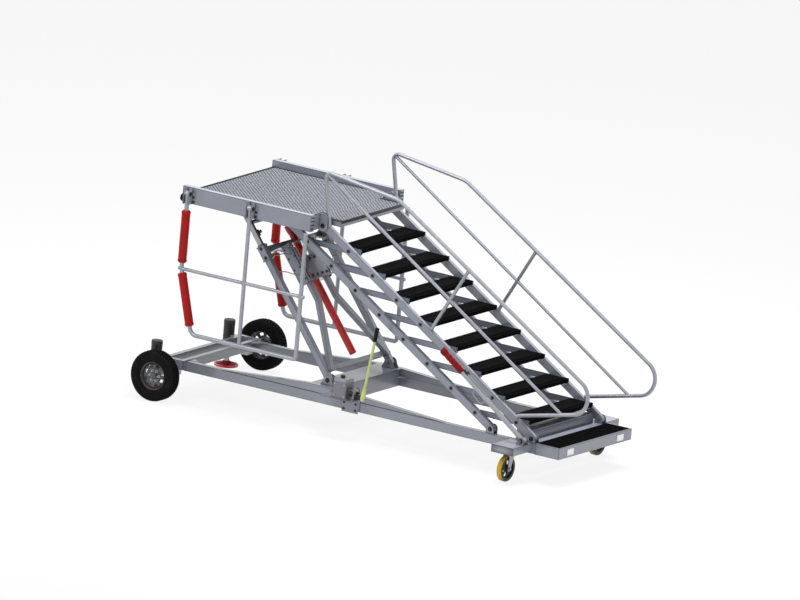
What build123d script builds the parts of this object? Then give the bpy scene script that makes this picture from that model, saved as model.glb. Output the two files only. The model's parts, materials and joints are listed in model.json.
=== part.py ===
from build123d import *
import math
import os

# Mobile aircraft stairs: a wheeled ladder frame carries a self-levelling stair and platform.
# Two pairs of stringers form a parallelogram, so steps and platform stay level at any height.
# Working frame: X from the wheel axle to the foot of the stairs, Y across, Z up from the floor, mm.
# The finished model is moved along X at the end, to stand centred over its own origin.

# ---- stair parallelogram ----
STEP_COUNT = 8
STEP_HEIGHT = 180.0
GOING = 290.4
LINK = 470.0
FOOT_X = 4025.0
FOOT_Z = 404.0
FIRST_PIN = 226.5
TOP_PIN = 2977.0
STRINGER_WIDTH = 40.0
STRINGER_DEPTH = 76.0
STAIR_RAISE_DEG = 15.0

# ---- pins and running gaps ----
PIVOT_PIN_D = 24.0
STEP_PIN_D = 20.0
PIN_HEAD_D = 34.0
PIN_HEAD_T = 7.0
PIN_FIT = 0.3
SEAT_GAP = 0.4
SIDE_GAP = 6.0

# ---- steps ----
TREAD_REAR = 135.0
TREAD_FRONT = 113.0
TREAD_TOP = 27.0
TREAD_LIP = 38.0
SHEET = 4.0
ARM_T = 8.0
ARM_EYE_R = 26.0
ARM_DROP = 38.0

# ---- handrails ----
RAIL_D = 38.0
MID_RAIL_D = 30.0
STRUT_D = 34.0
RAIL_CORNER = (1457.0, 2497.0)
RAIL_KINK = (2302.0, 2386.0)
RAIL_NOSE_TOP = (4640.0, 971.0)
RAIL_NOSE_LOW = (4550.0, 741.0)
RAIL_END = (3833.0, 585.0)
RAIL_NOSE_R = 170.0
RAIL_POST_FOOT = (66.0, -41.0)
KNEE_FOOT = (4310.0, 700.0)
STRUT_FOOT = (2774.0, 1200.0)
STRUT_TOP = (3150.0, 1866.0)

# ---- platform ----
PLATFORM_REAR = 20.0
BEAM_BEHIND_PIN = 20.0
SIDE_BEAM_OUTER = 800.0
SIDE_BEAM_W = 60.0
BEAM_ABOVE_DECK = 61.0
SIDE_BEAM_H = 160.0
DECK_ABOVE_PIN = 63.6
DECK_T = 6.0
NOSE_AHEAD_OF_PIN = 160.0
CROSS_BEAM_W = 60.0
CROSS_BEAM_H = 88.0
EAR_T = 10.0
EAR_R = 56.0
BUFFER_D = 70.0
BUFFER_L = 26.0
BUFFER_UP = 38.0

# ---- folding guards ----
GUARD_D = 42.0
GUARD_MID_D = 34.0
GUARD_MID_POST_D = 38.0
GUARD_EYE_D = 50.0
GUARD_PIN_D = 14.0
GUARD_OUTSET = 35.0
HINGE_BELOW_BEAM_TOP = 57.0
GUARD_POSTS = {-1: (95.0, 808.0, 1455.0), 1: (62.0, 800.0, 1512.0)}
GUARD_DROP = {-1: 0.0, 1: 85.0}
GUARD_MID_BELOW = 735.0
GUARD_END_BELOW = 1350.0
GUARD_SLOPE_RUN = 165.0
PAD_D = 90.0
PAD_TOP_BELOW = 165.0
PAD_L = 510.0

# ---- chassis ----
RAIL_OUTER = 626.0
RAIL_W = 60.0
PIVOT_EAR_INSET = 12.0
RAIL_BOTTOM = 267.0
RAIL_TOP = 361.0
RAIL_REAR = 80.0
RAIL_FRONT = 4085.0
HAUNCH_H = 75.0
HAUNCH_RUN = 1300.0
MID_BEAM_REAR = 1500.0
MID_BEAM_FRONT = 1750.0
MID_BEAM_PLATE_T = 8.0
REAR_MEMBER_XS = (-110.0, 75.0)
REAR_MEMBER_W = 50.0
REAR_MEMBER_H = 90.0
REAR_MEMBER_OVERHANG = 44.0
CASTOR_BEAM_REAR = 3810.0
CASTOR_BEAM_FRONT = 3970.0
CASTOR_BEAM_TOP = 450.0
OUTRIGGER_REAR = 3800.0
OUTRIGGER_FRONT = 4050.0
OUTRIGGER_ENDS = {-1: 950.0, 1: 868.0}
OUTRIGGER_BOTTOM = 290.0
OUTRIGGER_TOP = 365.0
BASE_EAR_R = 42.0
BASE_STEP_REAR = 4000.0
BASE_STEP_FRONT = 4357.0
COVER_REAR = 4090.0
COVER_FRONT_EDGE = 9.0
COVER_SIDE_EDGE = 26.0
BASE_STEP_TOP = 371.5

# ---- road wheels ----
WHEEL_D = 490.0
WHEEL_W = 138.0
WHEEL_OUTSET = 304.0
WHEEL_X = -40.0
RIM_D = 275.0
SPINDLE_D = 40.0

# ---- castors ----
CASTOR_X = 3905.0
CASTOR_Y = 790.0
CASTOR_D = 250.0
CASTOR_W = 55.0
CASTOR_TRAIL = 40.0
CASTOR_AXLE_D = 20.0

# ---- jacks ----
JACK_X = -240.0
JACK_TUBE_D = 107.0
JACK_TOP = 500.0
JACK_TUBE_BOTTOM = 215.0
JACK_STEM_D = 50.0
JACK_FOOT_D = 232.0
JACK_FOOT_Z = 50.0

# ---- telescopic mast ----
MAST_X = 1660.0
MAST_Z = 485.0
MAST_TOP_X = 550.0
MAST_TOP_BELOW_DECK = 136.0
MAST_LEG_INSET = 41.0
LEG_W = 50.0
LEG_DEPTH = 62.0
LEG_WALL = 4.0
INNER_W = 36.0
INNER_DEPTH = 48.0
COLLAR_LOW = 1290.0
COLLAR_HIGH = 1430.0
CYLINDER_D = 70.0
CYLINDER_OFFSET = 20.0
ROD_D = 40.0
MAST_STRUT_Y = 150.0
MAST_STRUT_W = 60.0
MAST_STRUT_T = 40.0

# ---- lever ----
LEVER_OUTSET = 114.0
LEVER_D = 46.0
LEVER_GRIP_D = 66.0
LEVER_LENGTH = 1205.0
LEVER_GRIP = 300.0
LEVER_ANGLE = 35.0

# ---- pump ----
PUMP_X = 1938.0
PUMP_OUTSET = 90.0
PUMP_FLOOR = 400.0
PUMP_TANK_H = 160.0
PUMP_SHELF_W = 175.0
HANDLE_FOOT = (230.0, 436.0)
HANDLE_TOP = (311.0, 1010.0)
HANDLE_GRIP = 130.0

# ---- reflectors ----
REFLECTOR_Y = 380.0
REFLECTOR_W = 100.0
REFLECTOR_H = 50.0
REFLECTOR_UP = 22.0

# ---- worked out from the driving sizes ----
PITCH = math.hypot(GOING, STEP_HEIGHT)
STAIR_COS = GOING / PITCH
STAIR_SIN = STEP_HEIGHT / PITCH
WHEEL_R = WHEEL_D / 2
RAIL_INNER = RAIL_OUTER - RAIL_W
JACK_Y = RAIL_OUTER
REAR_MEMBER_Y = RAIL_OUTER + REAR_MEMBER_OVERHANG
WHEEL_Y = RAIL_OUTER + WHEEL_OUTSET
MAST_LEG_Y = RAIL_INNER - MAST_LEG_INSET
LEVER_Y = -RAIL_OUTER - LEVER_OUTSET
PUMP_Y = -RAIL_OUTER - PUMP_OUTSET
COVER_FRONT = BASE_STEP_FRONT - COVER_FRONT_EDGE
STRINGER_Y = RAIL_INNER - PIVOT_EAR_INSET + SIDE_GAP + STRINGER_WIDTH / 2
STRINGER_IN = STRINGER_Y - STRINGER_WIDTH / 2
STRINGER_OUT = STRINGER_Y + STRINGER_WIDTH / 2
EAR_IN = STRINGER_IN - SIDE_GAP
EAR_OUT = STRINGER_OUT + SIDE_GAP


def up_stringer(distance, level=0.0):
    """A point on the upper stringers' line, level mm towards +X from it."""
    return FOOT_X - distance * STAIR_COS + level, FOOT_Z + distance * STAIR_SIN


STEP_PINS = [up_stringer(FIRST_PIN + i * PITCH) for i in range(STEP_COUNT)][::-1]
PLATFORM_PIN = up_stringer(TOP_PIN)
DECK_TOP = PLATFORM_PIN[1] + DECK_ABOVE_PIN
DECK_UNDER = DECK_TOP - DECK_T
DECK_NOSE = PLATFORM_PIN[0] + NOSE_AHEAD_OF_PIN
SIDE_BEAM_FRONT = PLATFORM_PIN[0] - BEAM_BEHIND_PIN
SIDE_BEAM_TOP = DECK_TOP + BEAM_ABOVE_DECK
SIDE_BEAM_LOW = SIDE_BEAM_TOP - SIDE_BEAM_H
GUARD_Y = SIDE_BEAM_OUTER + GUARD_OUTSET
GUARD_HINGE_Z = SIDE_BEAM_TOP - HINGE_BELOW_BEAM_TOP
MAST_TOP_Z = DECK_TOP - MAST_TOP_BELOW_DECK
MAST_LENGTH = math.hypot(MAST_X - MAST_TOP_X, MAST_TOP_Z - MAST_Z)
MAST_COS = (MAST_X - MAST_TOP_X) / MAST_LENGTH
MAST_SIN = (MAST_TOP_Z - MAST_Z) / MAST_LENGTH


# ---- small helpers ----
def block(x0, x1, y0, y1, z0, z1):
    return Pos((x0 + x1) / 2, (y0 + y1) / 2, (z0 + z1) / 2) * Box(x1 - x0, abs(y1 - y0), z1 - z0)


def round_bar(start, end, diameter):
    along = Vector(end) - Vector(start)
    stock = Cylinder(diameter / 2, along.length, align=(Align.CENTER, Align.CENTER, Align.MIN))
    return Plane(origin=start, z_dir=along) * stock


def cross_bar(x, z, y0, y1, diameter):
    return round_bar((x, min(y0, y1), z), (x, max(y0, y1), z), diameter)


def side_plate(points, y0, y1):
    """A plate cut to an outline in X and Z, between two Y planes."""
    plane = Plane(origin=(0, max(y0, y1), 0), x_dir=(1, 0, 0), z_dir=(0, -1, 0))
    return extrude(plane * make_face(Polyline(*points, close=True)), amount=abs(y1 - y0))


def link_bar(start, end, depth, y0, y1):
    """A flat bar with round ends centred on two points in X and Z."""
    centre = ((start[0] + end[0]) / 2, max(y0, y1), (start[1] + end[1]) / 2)
    along = (end[0] - start[0], 0, end[1] - start[1])
    plane = Plane(origin=centre, x_dir=along, z_dir=(0, -1, 0))
    outline = SlotCenterToCenter(math.hypot(along[0], along[2]), depth)
    return extrude(plane * outline, amount=abs(y1 - y0))


def bent_tube(points, radii, diameter):
    """A round tube along a path of straight runs and tangent arcs."""
    path = FilletPolyline(*points, radius=radii) if radii else Polyline(*points)
    section = Plane(origin=path @ 0, z_dir=path % 0) * Circle(diameter / 2)
    return sweep(section, path=path)


def both_sides(shape):
    return shape + mirror(shape, about=Plane.XZ)


# ---- chassis ----
def chassis_rails():
    rail = block(RAIL_REAR, RAIL_FRONT, RAIL_INNER, RAIL_OUTER, RAIL_BOTTOM, RAIL_TOP)
    haunch = side_plate(
        [
            (RAIL_REAR + 420, RAIL_TOP),
            (MID_BEAM_REAR, RAIL_TOP + HAUNCH_H),
            (MID_BEAM_FRONT, RAIL_TOP + HAUNCH_H),
            (MID_BEAM_FRONT + HAUNCH_RUN, RAIL_TOP),
        ],
        RAIL_INNER + 2,
        RAIL_OUTER - 2,
    )
    return both_sides(rail + haunch)


def rear_cross_members():
    """Two members across the tail, tied at their ends, with a jack bracket behind each side."""
    top = RAIL_TOP + 9
    frame = None
    for x in REAR_MEMBER_XS:
        bar = block(x - REAR_MEMBER_W / 2, x + REAR_MEMBER_W / 2, -REAR_MEMBER_Y, REAR_MEMBER_Y,
                    top - REAR_MEMBER_H, top)
        frame = bar if frame is None else frame + bar
    rear, front = REAR_MEMBER_XS
    tie = block(rear, front, REAR_MEMBER_Y - 50, REAR_MEMBER_Y, top - REAR_MEMBER_H, top)
    jack_face = JACK_X + JACK_TUBE_D / 2 - 12
    bracket = block(jack_face, rear, JACK_Y - 35, JACK_Y + 35, top - REAR_MEMBER_H, top - 10)
    bracket -= Pos(JACK_X, JACK_Y, top - 50) * Cylinder(JACK_TUBE_D / 2, 200)
    frame += both_sides(tie + bracket)
    slot = block(RAIL_REAR, front + 200, RAIL_INNER, RAIL_OUTER, RAIL_BOTTOM, RAIL_TOP)
    return frame - both_sides(slot)


def mid_cross_beam():
    top = RAIL_TOP + HAUNCH_H - MID_BEAM_PLATE_T
    beam = block(MID_BEAM_REAR, MID_BEAM_FRONT, -RAIL_INNER, RAIL_INNER, RAIL_BOTTOM, top)
    plate = block(MID_BEAM_REAR - 10, MID_BEAM_FRONT + 10, -RAIL_INNER, RAIL_INNER,
                  top, top + MID_BEAM_PLATE_T)
    return beam + plate


def mast_brackets():
    base = RAIL_TOP + HAUNCH_H
    pair = None
    half = LEG_W / 2 + SIDE_GAP
    for inner in (MAST_LEG_Y - half - ARM_T, MAST_LEG_Y + half):
        outer = inner + ARM_T
        ear = side_plate(
            [(MAST_X - 75, base), (MAST_X + 75, base), (MAST_X + 48, MAST_Z), (MAST_X - 48, MAST_Z)],
            inner, outer)
        ear += cross_bar(MAST_X, MAST_Z, inner, outer, 96)
        pair = ear if pair is None else pair + ear
    pin = cross_bar(MAST_X, MAST_Z, MAST_LEG_Y - half - 18, MAST_LEG_Y + half + 18, PIVOT_PIN_D)
    return both_sides(pair + pin)


def front_castor_beam():
    beam = block(CASTOR_BEAM_REAR, CASTOR_BEAM_FRONT, -EAR_IN + EAR_T + 4, EAR_IN - EAR_T - 4,
                 OUTRIGGER_BOTTOM + 10, CASTOR_BEAM_TOP)
    beam += block(CASTOR_BEAM_REAR, CASTOR_BEAM_FRONT, -RAIL_INNER, RAIL_INNER,
                  OUTRIGGER_BOTTOM + 10, RAIL_TOP)
    for side, end in OUTRIGGER_ENDS.items():
        y0, y1 = sorted((side * RAIL_OUTER, side * end))
        beam += block(OUTRIGGER_REAR, OUTRIGGER_FRONT, y0, y1, OUTRIGGER_BOTTOM, OUTRIGGER_TOP)
    return beam


def castor_plates():
    plate = block(CASTOR_X - 70, CASTOR_X + 70, CASTOR_Y - 70, CASTOR_Y + 70,
                  OUTRIGGER_BOTTOM - 8, OUTRIGGER_BOTTOM)
    stud = Pos(CASTOR_X, CASTOR_Y, OUTRIGGER_BOTTOM - 16) * Cylinder(14, 16)
    return both_sides(plate + stud)


def base_pivot_brackets():
    """Clevis ears on the rails for the stringers' feet, each with its pin."""
    parts = None
    for x in (FOOT_X, FOOT_X - LINK):
        inner = side_plate(
            [(x - BASE_EAR_R, OUTRIGGER_BOTTOM + 12), (x + BASE_EAR_R, OUTRIGGER_BOTTOM + 12),
             (x + BASE_EAR_R, FOOT_Z), (x - BASE_EAR_R, FOOT_Z)],
            EAR_IN - EAR_T, EAR_IN)
        inner += cross_bar(x, FOOT_Z, EAR_IN - EAR_T, EAR_IN, 2 * BASE_EAR_R)
        inner += block(x - BASE_EAR_R, x + BASE_EAR_R, EAR_IN - EAR_T, RAIL_INNER,
                       OUTRIGGER_BOTTOM + 12, RAIL_TOP - 6)
        outer = side_plate(
            [(x - BASE_EAR_R - 8, RAIL_TOP), (x + BASE_EAR_R + 8, RAIL_TOP),
             (x + BASE_EAR_R, FOOT_Z), (x - BASE_EAR_R, FOOT_Z)],
            EAR_OUT, EAR_OUT + EAR_T)
        outer += cross_bar(x, FOOT_Z, EAR_OUT, EAR_OUT + EAR_T, 2 * BASE_EAR_R)
        pin = cross_bar(x, FOOT_Z, EAR_IN - EAR_T - 8, EAR_OUT + EAR_T + 8, PIVOT_PIN_D)
        piece = inner + outer + pin
        parts = piece if parts is None else parts + piece
    return both_sides(parts)


def base_step():
    """A folded box step across the foot, notched at the rear corners for the inner pivot ears."""
    inner = EAR_IN - EAR_T - 3
    floor = RAIL_BOTTOM - 3
    box = block(BASE_STEP_REAR, RAIL_FRONT, -inner, inner, floor, BASE_STEP_TOP)
    box += block(RAIL_FRONT, BASE_STEP_FRONT, -RAIL_OUTER, RAIL_OUTER, floor, BASE_STEP_TOP)
    wall = 5.0
    box -= block(BASE_STEP_REAR + wall, BASE_STEP_FRONT - wall, -inner + wall, inner - wall,
                 floor - 1, BASE_STEP_TOP - wall)
    corner = block(RAIL_FRONT + wall, BASE_STEP_FRONT - wall, inner, RAIL_OUTER - wall,
                   floor - 1, BASE_STEP_TOP - wall)
    return box - both_sides(corner)


def base_step_cover():
    side = RAIL_OUTER - COVER_SIDE_EDGE
    return block(COVER_REAR, COVER_FRONT, -side, side, BASE_STEP_TOP, BASE_STEP_TOP + 4)


def front_reflectors():
    low = RAIL_BOTTOM + REFLECTOR_UP
    plate = block(BASE_STEP_FRONT, BASE_STEP_FRONT + 4, REFLECTOR_Y, REFLECTOR_Y + REFLECTOR_W,
                  low, low + REFLECTOR_H)
    return both_sides(plate)


def wheel_spindles():
    """A carrier block under each rail end and the stub axle that the wheel turns on."""
    carrier = block(WHEEL_X - 60, WHEEL_X + 60, RAIL_INNER, REAR_MEMBER_Y,
                    WHEEL_R - 35, RAIL_TOP + 9 - REAR_MEMBER_H)
    spindle = cross_bar(WHEEL_X, WHEEL_R, REAR_MEMBER_Y - 10, WHEEL_Y + 25, SPINDLE_D)
    flange = cross_bar(WHEEL_X, WHEEL_R, REAR_MEMBER_Y, REAR_MEMBER_Y + 12, 66)
    return both_sides(carrier + spindle + flange)


def jack_tubes():
    tube = Pos(JACK_X, JACK_Y, (JACK_TOP + JACK_TUBE_BOTTOM) / 2) * Cylinder(
        JACK_TUBE_D / 2, JACK_TOP - JACK_TUBE_BOTTOM)
    bore = Pos(JACK_X, JACK_Y, (JACK_TOP + JACK_TUBE_BOTTOM) / 2 - 12) * Cylinder(
        JACK_STEM_D / 2 + PIN_FIT, JACK_TOP - JACK_TUBE_BOTTOM)
    return both_sides(tube - bore)


def jack_leg(side):
    y = side * JACK_Y
    foot_top = JACK_FOOT_Z + 18
    foot = Pos(JACK_X, y, JACK_FOOT_Z + 9) * Cylinder(JACK_FOOT_D / 2, 18)
    boss = Pos(JACK_X, y, foot_top + 12) * Cylinder(38, 24)
    stem_top = JACK_TOP - 140
    stem = Pos(JACK_X, y, (foot_top + stem_top) / 2) * Cylinder(JACK_STEM_D / 2, stem_top - foot_top)
    return foot + boss + stem


# ---- wheels ----
def tyre(side):
    outer = WHEEL_R
    half = WHEEL_W / 2
    bead = RIM_D / 2
    with BuildSketch(Plane.XZ) as section:
        with BuildLine():
            Polyline((half - 22, bead), (half, bead + 38), (half, outer - 32), (half - 22, outer),
                     (-half + 22, outer), (-half, outer - 32), (-half, bead + 38), (-half + 22, bead),
                     close=True)
        make_face()
    ring = revolve(section.sketch, axis=Axis.X)
    return Pos(WHEEL_X, side * WHEEL_Y, WHEEL_R) * Rot(0, 0, 90) * ring


def rim(side):
    """A pressed steel wheel: barrel, dished disc with round holes, and hub."""
    bead = RIM_D / 2 - PIN_FIT
    half = WHEEL_W / 2 - 24
    barrel = Cylinder(bead, 2 * half) - Cylinder(bead - 10, 2 * half + 2)
    disc = Pos(0, 0, 12) * Cylinder(bead - 5, 8)
    for k in range(8):
        disc -= Rot(0, 0, k * 45) * Pos(bead * 0.68, 0, 12) * Cylinder(14, 20)
    hub = Pos(0, 0, 8) * Cylinder(42, 62)
    wheel = barrel + disc + hub - Pos(0, 0, -20) * Cylinder(SPINDLE_D / 2 + PIN_FIT, 100)
    return Pos(WHEEL_X, side * WHEEL_Y, WHEEL_R) * Rot(-90 * side, 0, 0) * wheel


def castor_fork(side):
    """A swivel fork: bearing drum, crown and two legs down to the axle."""
    y = side * CASTOR_Y
    axle_y = y - CASTOR_TRAIL
    leg_in = CASTOR_W / 2 + 5
    leg_out = leg_in + 6
    drum_top = OUTRIGGER_BOTTOM - 8 - SEAT_GAP
    drum = Pos(CASTOR_X, y, drum_top - 8) * Cylinder(42, 16)
    drum -= Pos(CASTOR_X, y, drum_top - 8) * Cylinder(14 + PIN_FIT, 18)
    crown_z = CASTOR_D + 6
    crown = block(CASTOR_X - leg_out, CASTOR_X + leg_out, y - 45, y + 42, crown_z, drum_top - 15)
    crown -= Pos(CASTOR_X, y, drum_top - 15) * Cylinder(14 + PIN_FIT, 6)
    fork = drum + crown
    for s in (-1, 1):
        x0, x1 = sorted((CASTOR_X + s * leg_in, CASTOR_X + s * leg_out))
        plane = Plane(origin=(x0, 0, 0), x_dir=(0, 1, 0), z_dir=(1, 0, 0))
        outline = Polyline((y - 45, crown_z + 6), (y + 42, crown_z + 6), (axle_y + 24, CASTOR_D / 2),
                           (axle_y - 24, CASTOR_D / 2), close=True)
        leg = extrude(plane * make_face(outline), amount=x1 - x0)
        eye = Plane(origin=(x0, axle_y, CASTOR_D / 2), z_dir=(1, 0, 0)) * Cylinder(
            24, x1 - x0, align=(Align.CENTER, Align.CENTER, Align.MIN))
        fork += leg + eye
    axle = round_bar((CASTOR_X - leg_out - 6, axle_y, CASTOR_D / 2),
                     (CASTOR_X + leg_out + 6, axle_y, CASTOR_D / 2), CASTOR_AXLE_D)
    return fork + axle


def castor_wheel(side):
    """A cast wheel with six spokes inside its tread ring."""
    r = CASTOR_D / 2
    ring = Cylinder(r, CASTOR_W) - Cylinder(r - 34, CASTOR_W + 2)
    web = Cylinder(r - 30, 10)
    for k in range(6):
        web -= Rot(0, 0, 60 * k + 30) * Pos(r * 0.5, 0, 0) * Cylinder(17, 20)
    hub = Cylinder(28, CASTOR_W + 4)
    wheel = ring + web + hub - Cylinder(CASTOR_AXLE_D / 2 + PIN_FIT, CASTOR_W + 20)
    wheel = fillet(wheel.edges().filter_by(GeomType.CIRCLE).filter_by(lambda e: abs(e.radius - r) < 0.01), 8)
    return Pos(CASTOR_X, side * CASTOR_Y - CASTOR_TRAIL, r) * Rot(0, 90, 0) * wheel


# ---- stairs ----
def stringer_pair(base_x, pins):
    """Two flat-sided stringers with pin holes where the steps and platform hang."""
    top = (base_x - TOP_PIN * STAIR_COS, FOOT_Z + TOP_PIN * STAIR_SIN)
    bar = link_bar((base_x, FOOT_Z), top, STRINGER_DEPTH, STRINGER_IN, STRINGER_OUT)
    for x, z in [(base_x, FOOT_Z), top]:
        bar -= cross_bar(x, z, STRINGER_IN - 5, STRINGER_OUT + 5, PIVOT_PIN_D + 2 * PIN_FIT)
    for x, z in pins:
        bar -= cross_bar(x, z, STRINGER_IN - 5, STRINGER_OUT + 5, STEP_PIN_D + 2 * PIN_FIT)
    return both_sides(bar)


def upper_stringers():
    return stringer_pair(FOOT_X, STEP_PINS)


def lower_stringers():
    return stringer_pair(FOOT_X - LINK, [(x - LINK, z) for x, z in STEP_PINS])


def handrails():
    """A hooped rail, a knee rail and a strut on each upper stringer."""
    post_foot = (PLATFORM_PIN[0] + RAIL_POST_FOOT[0], PLATFORM_PIN[1] + RAIL_POST_FOOT[1])
    path = [post_foot, RAIL_CORNER, RAIL_KINK, RAIL_NOSE_TOP, RAIL_NOSE_LOW, RAIL_END]
    at = [(x, STRINGER_Y, z) for x, z in path]
    rail = bent_tube(at, [60.0, 260.0, RAIL_NOSE_R, RAIL_NOSE_R], RAIL_D)
    knee_top = (RAIL_CORNER[0] + 25, STRINGER_Y, RAIL_CORNER[1] - 28)
    knee = round_bar(knee_top, (KNEE_FOOT[0], STRINGER_Y, KNEE_FOOT[1]), MID_RAIL_D)
    strut = round_bar((STRUT_FOOT[0], STRINGER_Y, STRUT_FOOT[1]),
                      (STRUT_TOP[0], STRINGER_Y, STRUT_TOP[1]), STRUT_D)
    side = rail + knee + strut
    top = (FOOT_X - TOP_PIN * STAIR_COS, FOOT_Z + TOP_PIN * STAIR_SIN)
    side -= link_bar((FOOT_X, FOOT_Z), top, STRINGER_DEPTH, STRINGER_IN - 5, STRINGER_OUT + 5)
    return both_sides(side)


def step(index):
    """A folded tread on two arms that reach back to the lower stringers."""
    x, z = STEP_PINS[index]
    arm_in = EAR_IN - ARM_T
    tray = block(x - TREAD_REAR, x + TREAD_FRONT, -arm_in, arm_in, z + TREAD_TOP - TREAD_LIP, z + TREAD_TOP)
    tray -= block(x - TREAD_REAR + SHEET, x + TREAD_FRONT - SHEET, -arm_in - 1, arm_in + 1,
                  z + TREAD_TOP - TREAD_LIP - 1, z + TREAD_TOP - SHEET)
    arm = side_plate(
        [(x - LINK, z + ARM_EYE_R), (x - TREAD_REAR, z + TREAD_TOP), (x + TREAD_FRONT, z + TREAD_TOP),
         (x + TREAD_FRONT, z - 6), (x + 40, z - ARM_DROP), (x - 60, z - ARM_DROP),
         (x - LINK, z - ARM_EYE_R)],
        arm_in, EAR_IN)
    arm += cross_bar(x - LINK, z, arm_in, EAR_IN, 2 * ARM_EYE_R)
    for px in (x, x - LINK):
        arm += cross_bar(px, z, EAR_IN - 1, STRINGER_IN - SEAT_GAP, PIN_HEAD_D)
        arm += cross_bar(px, z, EAR_IN - 1, STRINGER_OUT + SEAT_GAP + 1, STEP_PIN_D)
        arm += cross_bar(px, z, STRINGER_OUT + SEAT_GAP, STRINGER_OUT + SEAT_GAP + PIN_HEAD_T, PIN_HEAD_D)
    return tray + both_sides(arm)


# ---- platform ----
def pivot_ears(x, z, beam_front, top):
    """Two ears either side of a stringer's top end, with the pin, carried by a cross-beam."""
    parts = None
    for y0 in (EAR_IN - EAR_T, EAR_OUT):
        y1 = y0 + EAR_T
        ear = side_plate(
            [(beam_front, DECK_UNDER - CROSS_BEAM_H), (x, z - EAR_R), (x + EAR_R, z),
             (x + EAR_R, top - 30), (x + EAR_R - 30, top), (beam_front, top)],
            y0, y1)
        ear += cross_bar(x, z, y0, y1, 2 * EAR_R)
        parts = ear if parts is None else parts + ear
    pin = cross_bar(x, z, EAR_IN - EAR_T - 8, EAR_OUT + EAR_T + 8, PIVOT_PIN_D)
    return both_sides(parts + pin)


def mast_lugs(beam_front):
    parts = None
    x, z = MAST_TOP_X, MAST_TOP_Z
    half = INNER_W / 2 + SIDE_GAP
    for y0 in (MAST_LEG_Y - half - EAR_T, MAST_LEG_Y + half):
        lug = side_plate(
            [(beam_front, DECK_UNDER - CROSS_BEAM_H), (x - 36, z), (x + 36, z), (x + 70, DECK_UNDER),
             (beam_front, DECK_UNDER)], y0, y0 + EAR_T)
        lug += cross_bar(x, z, y0, y0 + EAR_T, 72)
        lug -= cross_bar(x, z, y0 - 1, y0 + EAR_T + 1, PIVOT_PIN_D)
        parts = lug if parts is None else parts + lug
    return both_sides(parts)


def rod_lugs(beam_front):
    x = MAST_TOP_X + CYLINDER_OFFSET * MAST_SIN
    z = MAST_TOP_Z + CYLINDER_OFFSET * MAST_COS
    half = 20 + SIDE_GAP
    lug = side_plate(
        [(beam_front, DECK_UNDER - CROSS_BEAM_H), (x - 36, z), (x + 36, z), (x + 60, DECK_UNDER),
         (beam_front, DECK_UNDER)], half, half + EAR_T)
    lug += cross_bar(x, z, half, half + EAR_T, 72)
    lug -= cross_bar(x, z, half - 1, half + EAR_T + 1, PIVOT_PIN_D)
    return both_sides(lug)


def platform_frame():
    beam_in = SIDE_BEAM_OUTER - SIDE_BEAM_W
    frame = both_sides(block(PLATFORM_REAR, SIDE_BEAM_FRONT, beam_in, SIDE_BEAM_OUTER,
                             SIDE_BEAM_LOW, SIDE_BEAM_TOP))
    lower_pin = (PLATFORM_PIN[0] - LINK, PLATFORM_PIN[1])
    front_of_beam = {
        "rear": PLATFORM_REAR + CROSS_BEAM_W,
        "mast": MAST_TOP_X - 90,
        "lower": lower_pin[0] - 60,
        "upper": PLATFORM_PIN[0] - 70,
    }
    for x1 in front_of_beam.values():
        frame += block(x1 - CROSS_BEAM_W, x1, -beam_in, beam_in, DECK_UNDER - CROSS_BEAM_H, DECK_UNDER)
    frame += pivot_ears(*lower_pin, front_of_beam["lower"], DECK_UNDER)
    frame += pivot_ears(*PLATFORM_PIN, front_of_beam["upper"], SIDE_BEAM_TOP - 8)
    frame += mast_lugs(front_of_beam["mast"]) + rod_lugs(front_of_beam["mast"])
    # tongue under the nose of the deck, and the return plates from beam end to pivot ear
    nose_y = EAR_IN - EAR_T - 3
    nose = block(front_of_beam["upper"], DECK_NOSE, nose_y - 40, nose_y, DECK_UNDER - 50, DECK_UNDER)
    frame += both_sides(nose)
    frame += block(DECK_NOSE - 40, DECK_NOSE, -nose_y, nose_y, DECK_UNDER - 50, DECK_UNDER)
    returns = block(SIDE_BEAM_FRONT - 30, SIDE_BEAM_FRONT - 20, EAR_OUT + EAR_T - 1, beam_in + 1,
                    SIDE_BEAM_LOW, SIDE_BEAM_TOP)
    frame += both_sides(returns)
    for side, posts in GUARD_POSTS.items():
        for x in posts[:2]:
            frame += guard_bracket(side, x)
    return frame


def guard_bracket(side, x):
    """Two plates on the side beam either side of a guard post, with the hinge pin through them."""
    y0, y1 = sorted((side * SIDE_BEAM_OUTER, side * (GUARD_Y + 30)))
    y = side * GUARD_Y
    bracket = round_bar((x - 40, y, GUARD_HINGE_Z), (x + 40, y, GUARD_HINGE_Z), GUARD_PIN_D)
    for end in (-1, 1):
        x0, x1 = sorted((x + end * (GUARD_D / 2 + 5), x + end * (GUARD_D / 2 + 11)))
        bracket += block(x0, x1, y0, y1, SIDE_BEAM_LOW, SIDE_BEAM_TOP)
    return bracket


def platform_deck():
    front = PLATFORM_PIN[0] - 60
    inner = SIDE_BEAM_OUTER - SIDE_BEAM_W
    nose_y = EAR_IN - EAR_T - 3
    deck = block(PLATFORM_REAR + 20, front, -inner, inner, DECK_UNDER, DECK_TOP)
    deck += block(front - 1, DECK_NOSE, -nose_y, nose_y, DECK_UNDER, DECK_TOP)
    ears = block(front - 12, front + 1, nose_y, EAR_OUT + EAR_T + 2, DECK_UNDER - 1, DECK_TOP + 1)
    return deck - both_sides(ears)


def platform_buffers():
    y = SIDE_BEAM_OUTER - SIDE_BEAM_W / 2
    z = SIDE_BEAM_LOW + BUFFER_UP
    buffer = round_bar((PLATFORM_REAR - BUFFER_L, y, z), (PLATFORM_REAR, y, z), BUFFER_D)
    return both_sides(buffer)


def guard_levels(side):
    """Heights of a guard's knee rail and bottom rail."""
    hang = GUARD_HINGE_Z - GUARD_DROP[side]
    return hang - GUARD_MID_BELOW, hang - GUARD_END_BELOW


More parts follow.
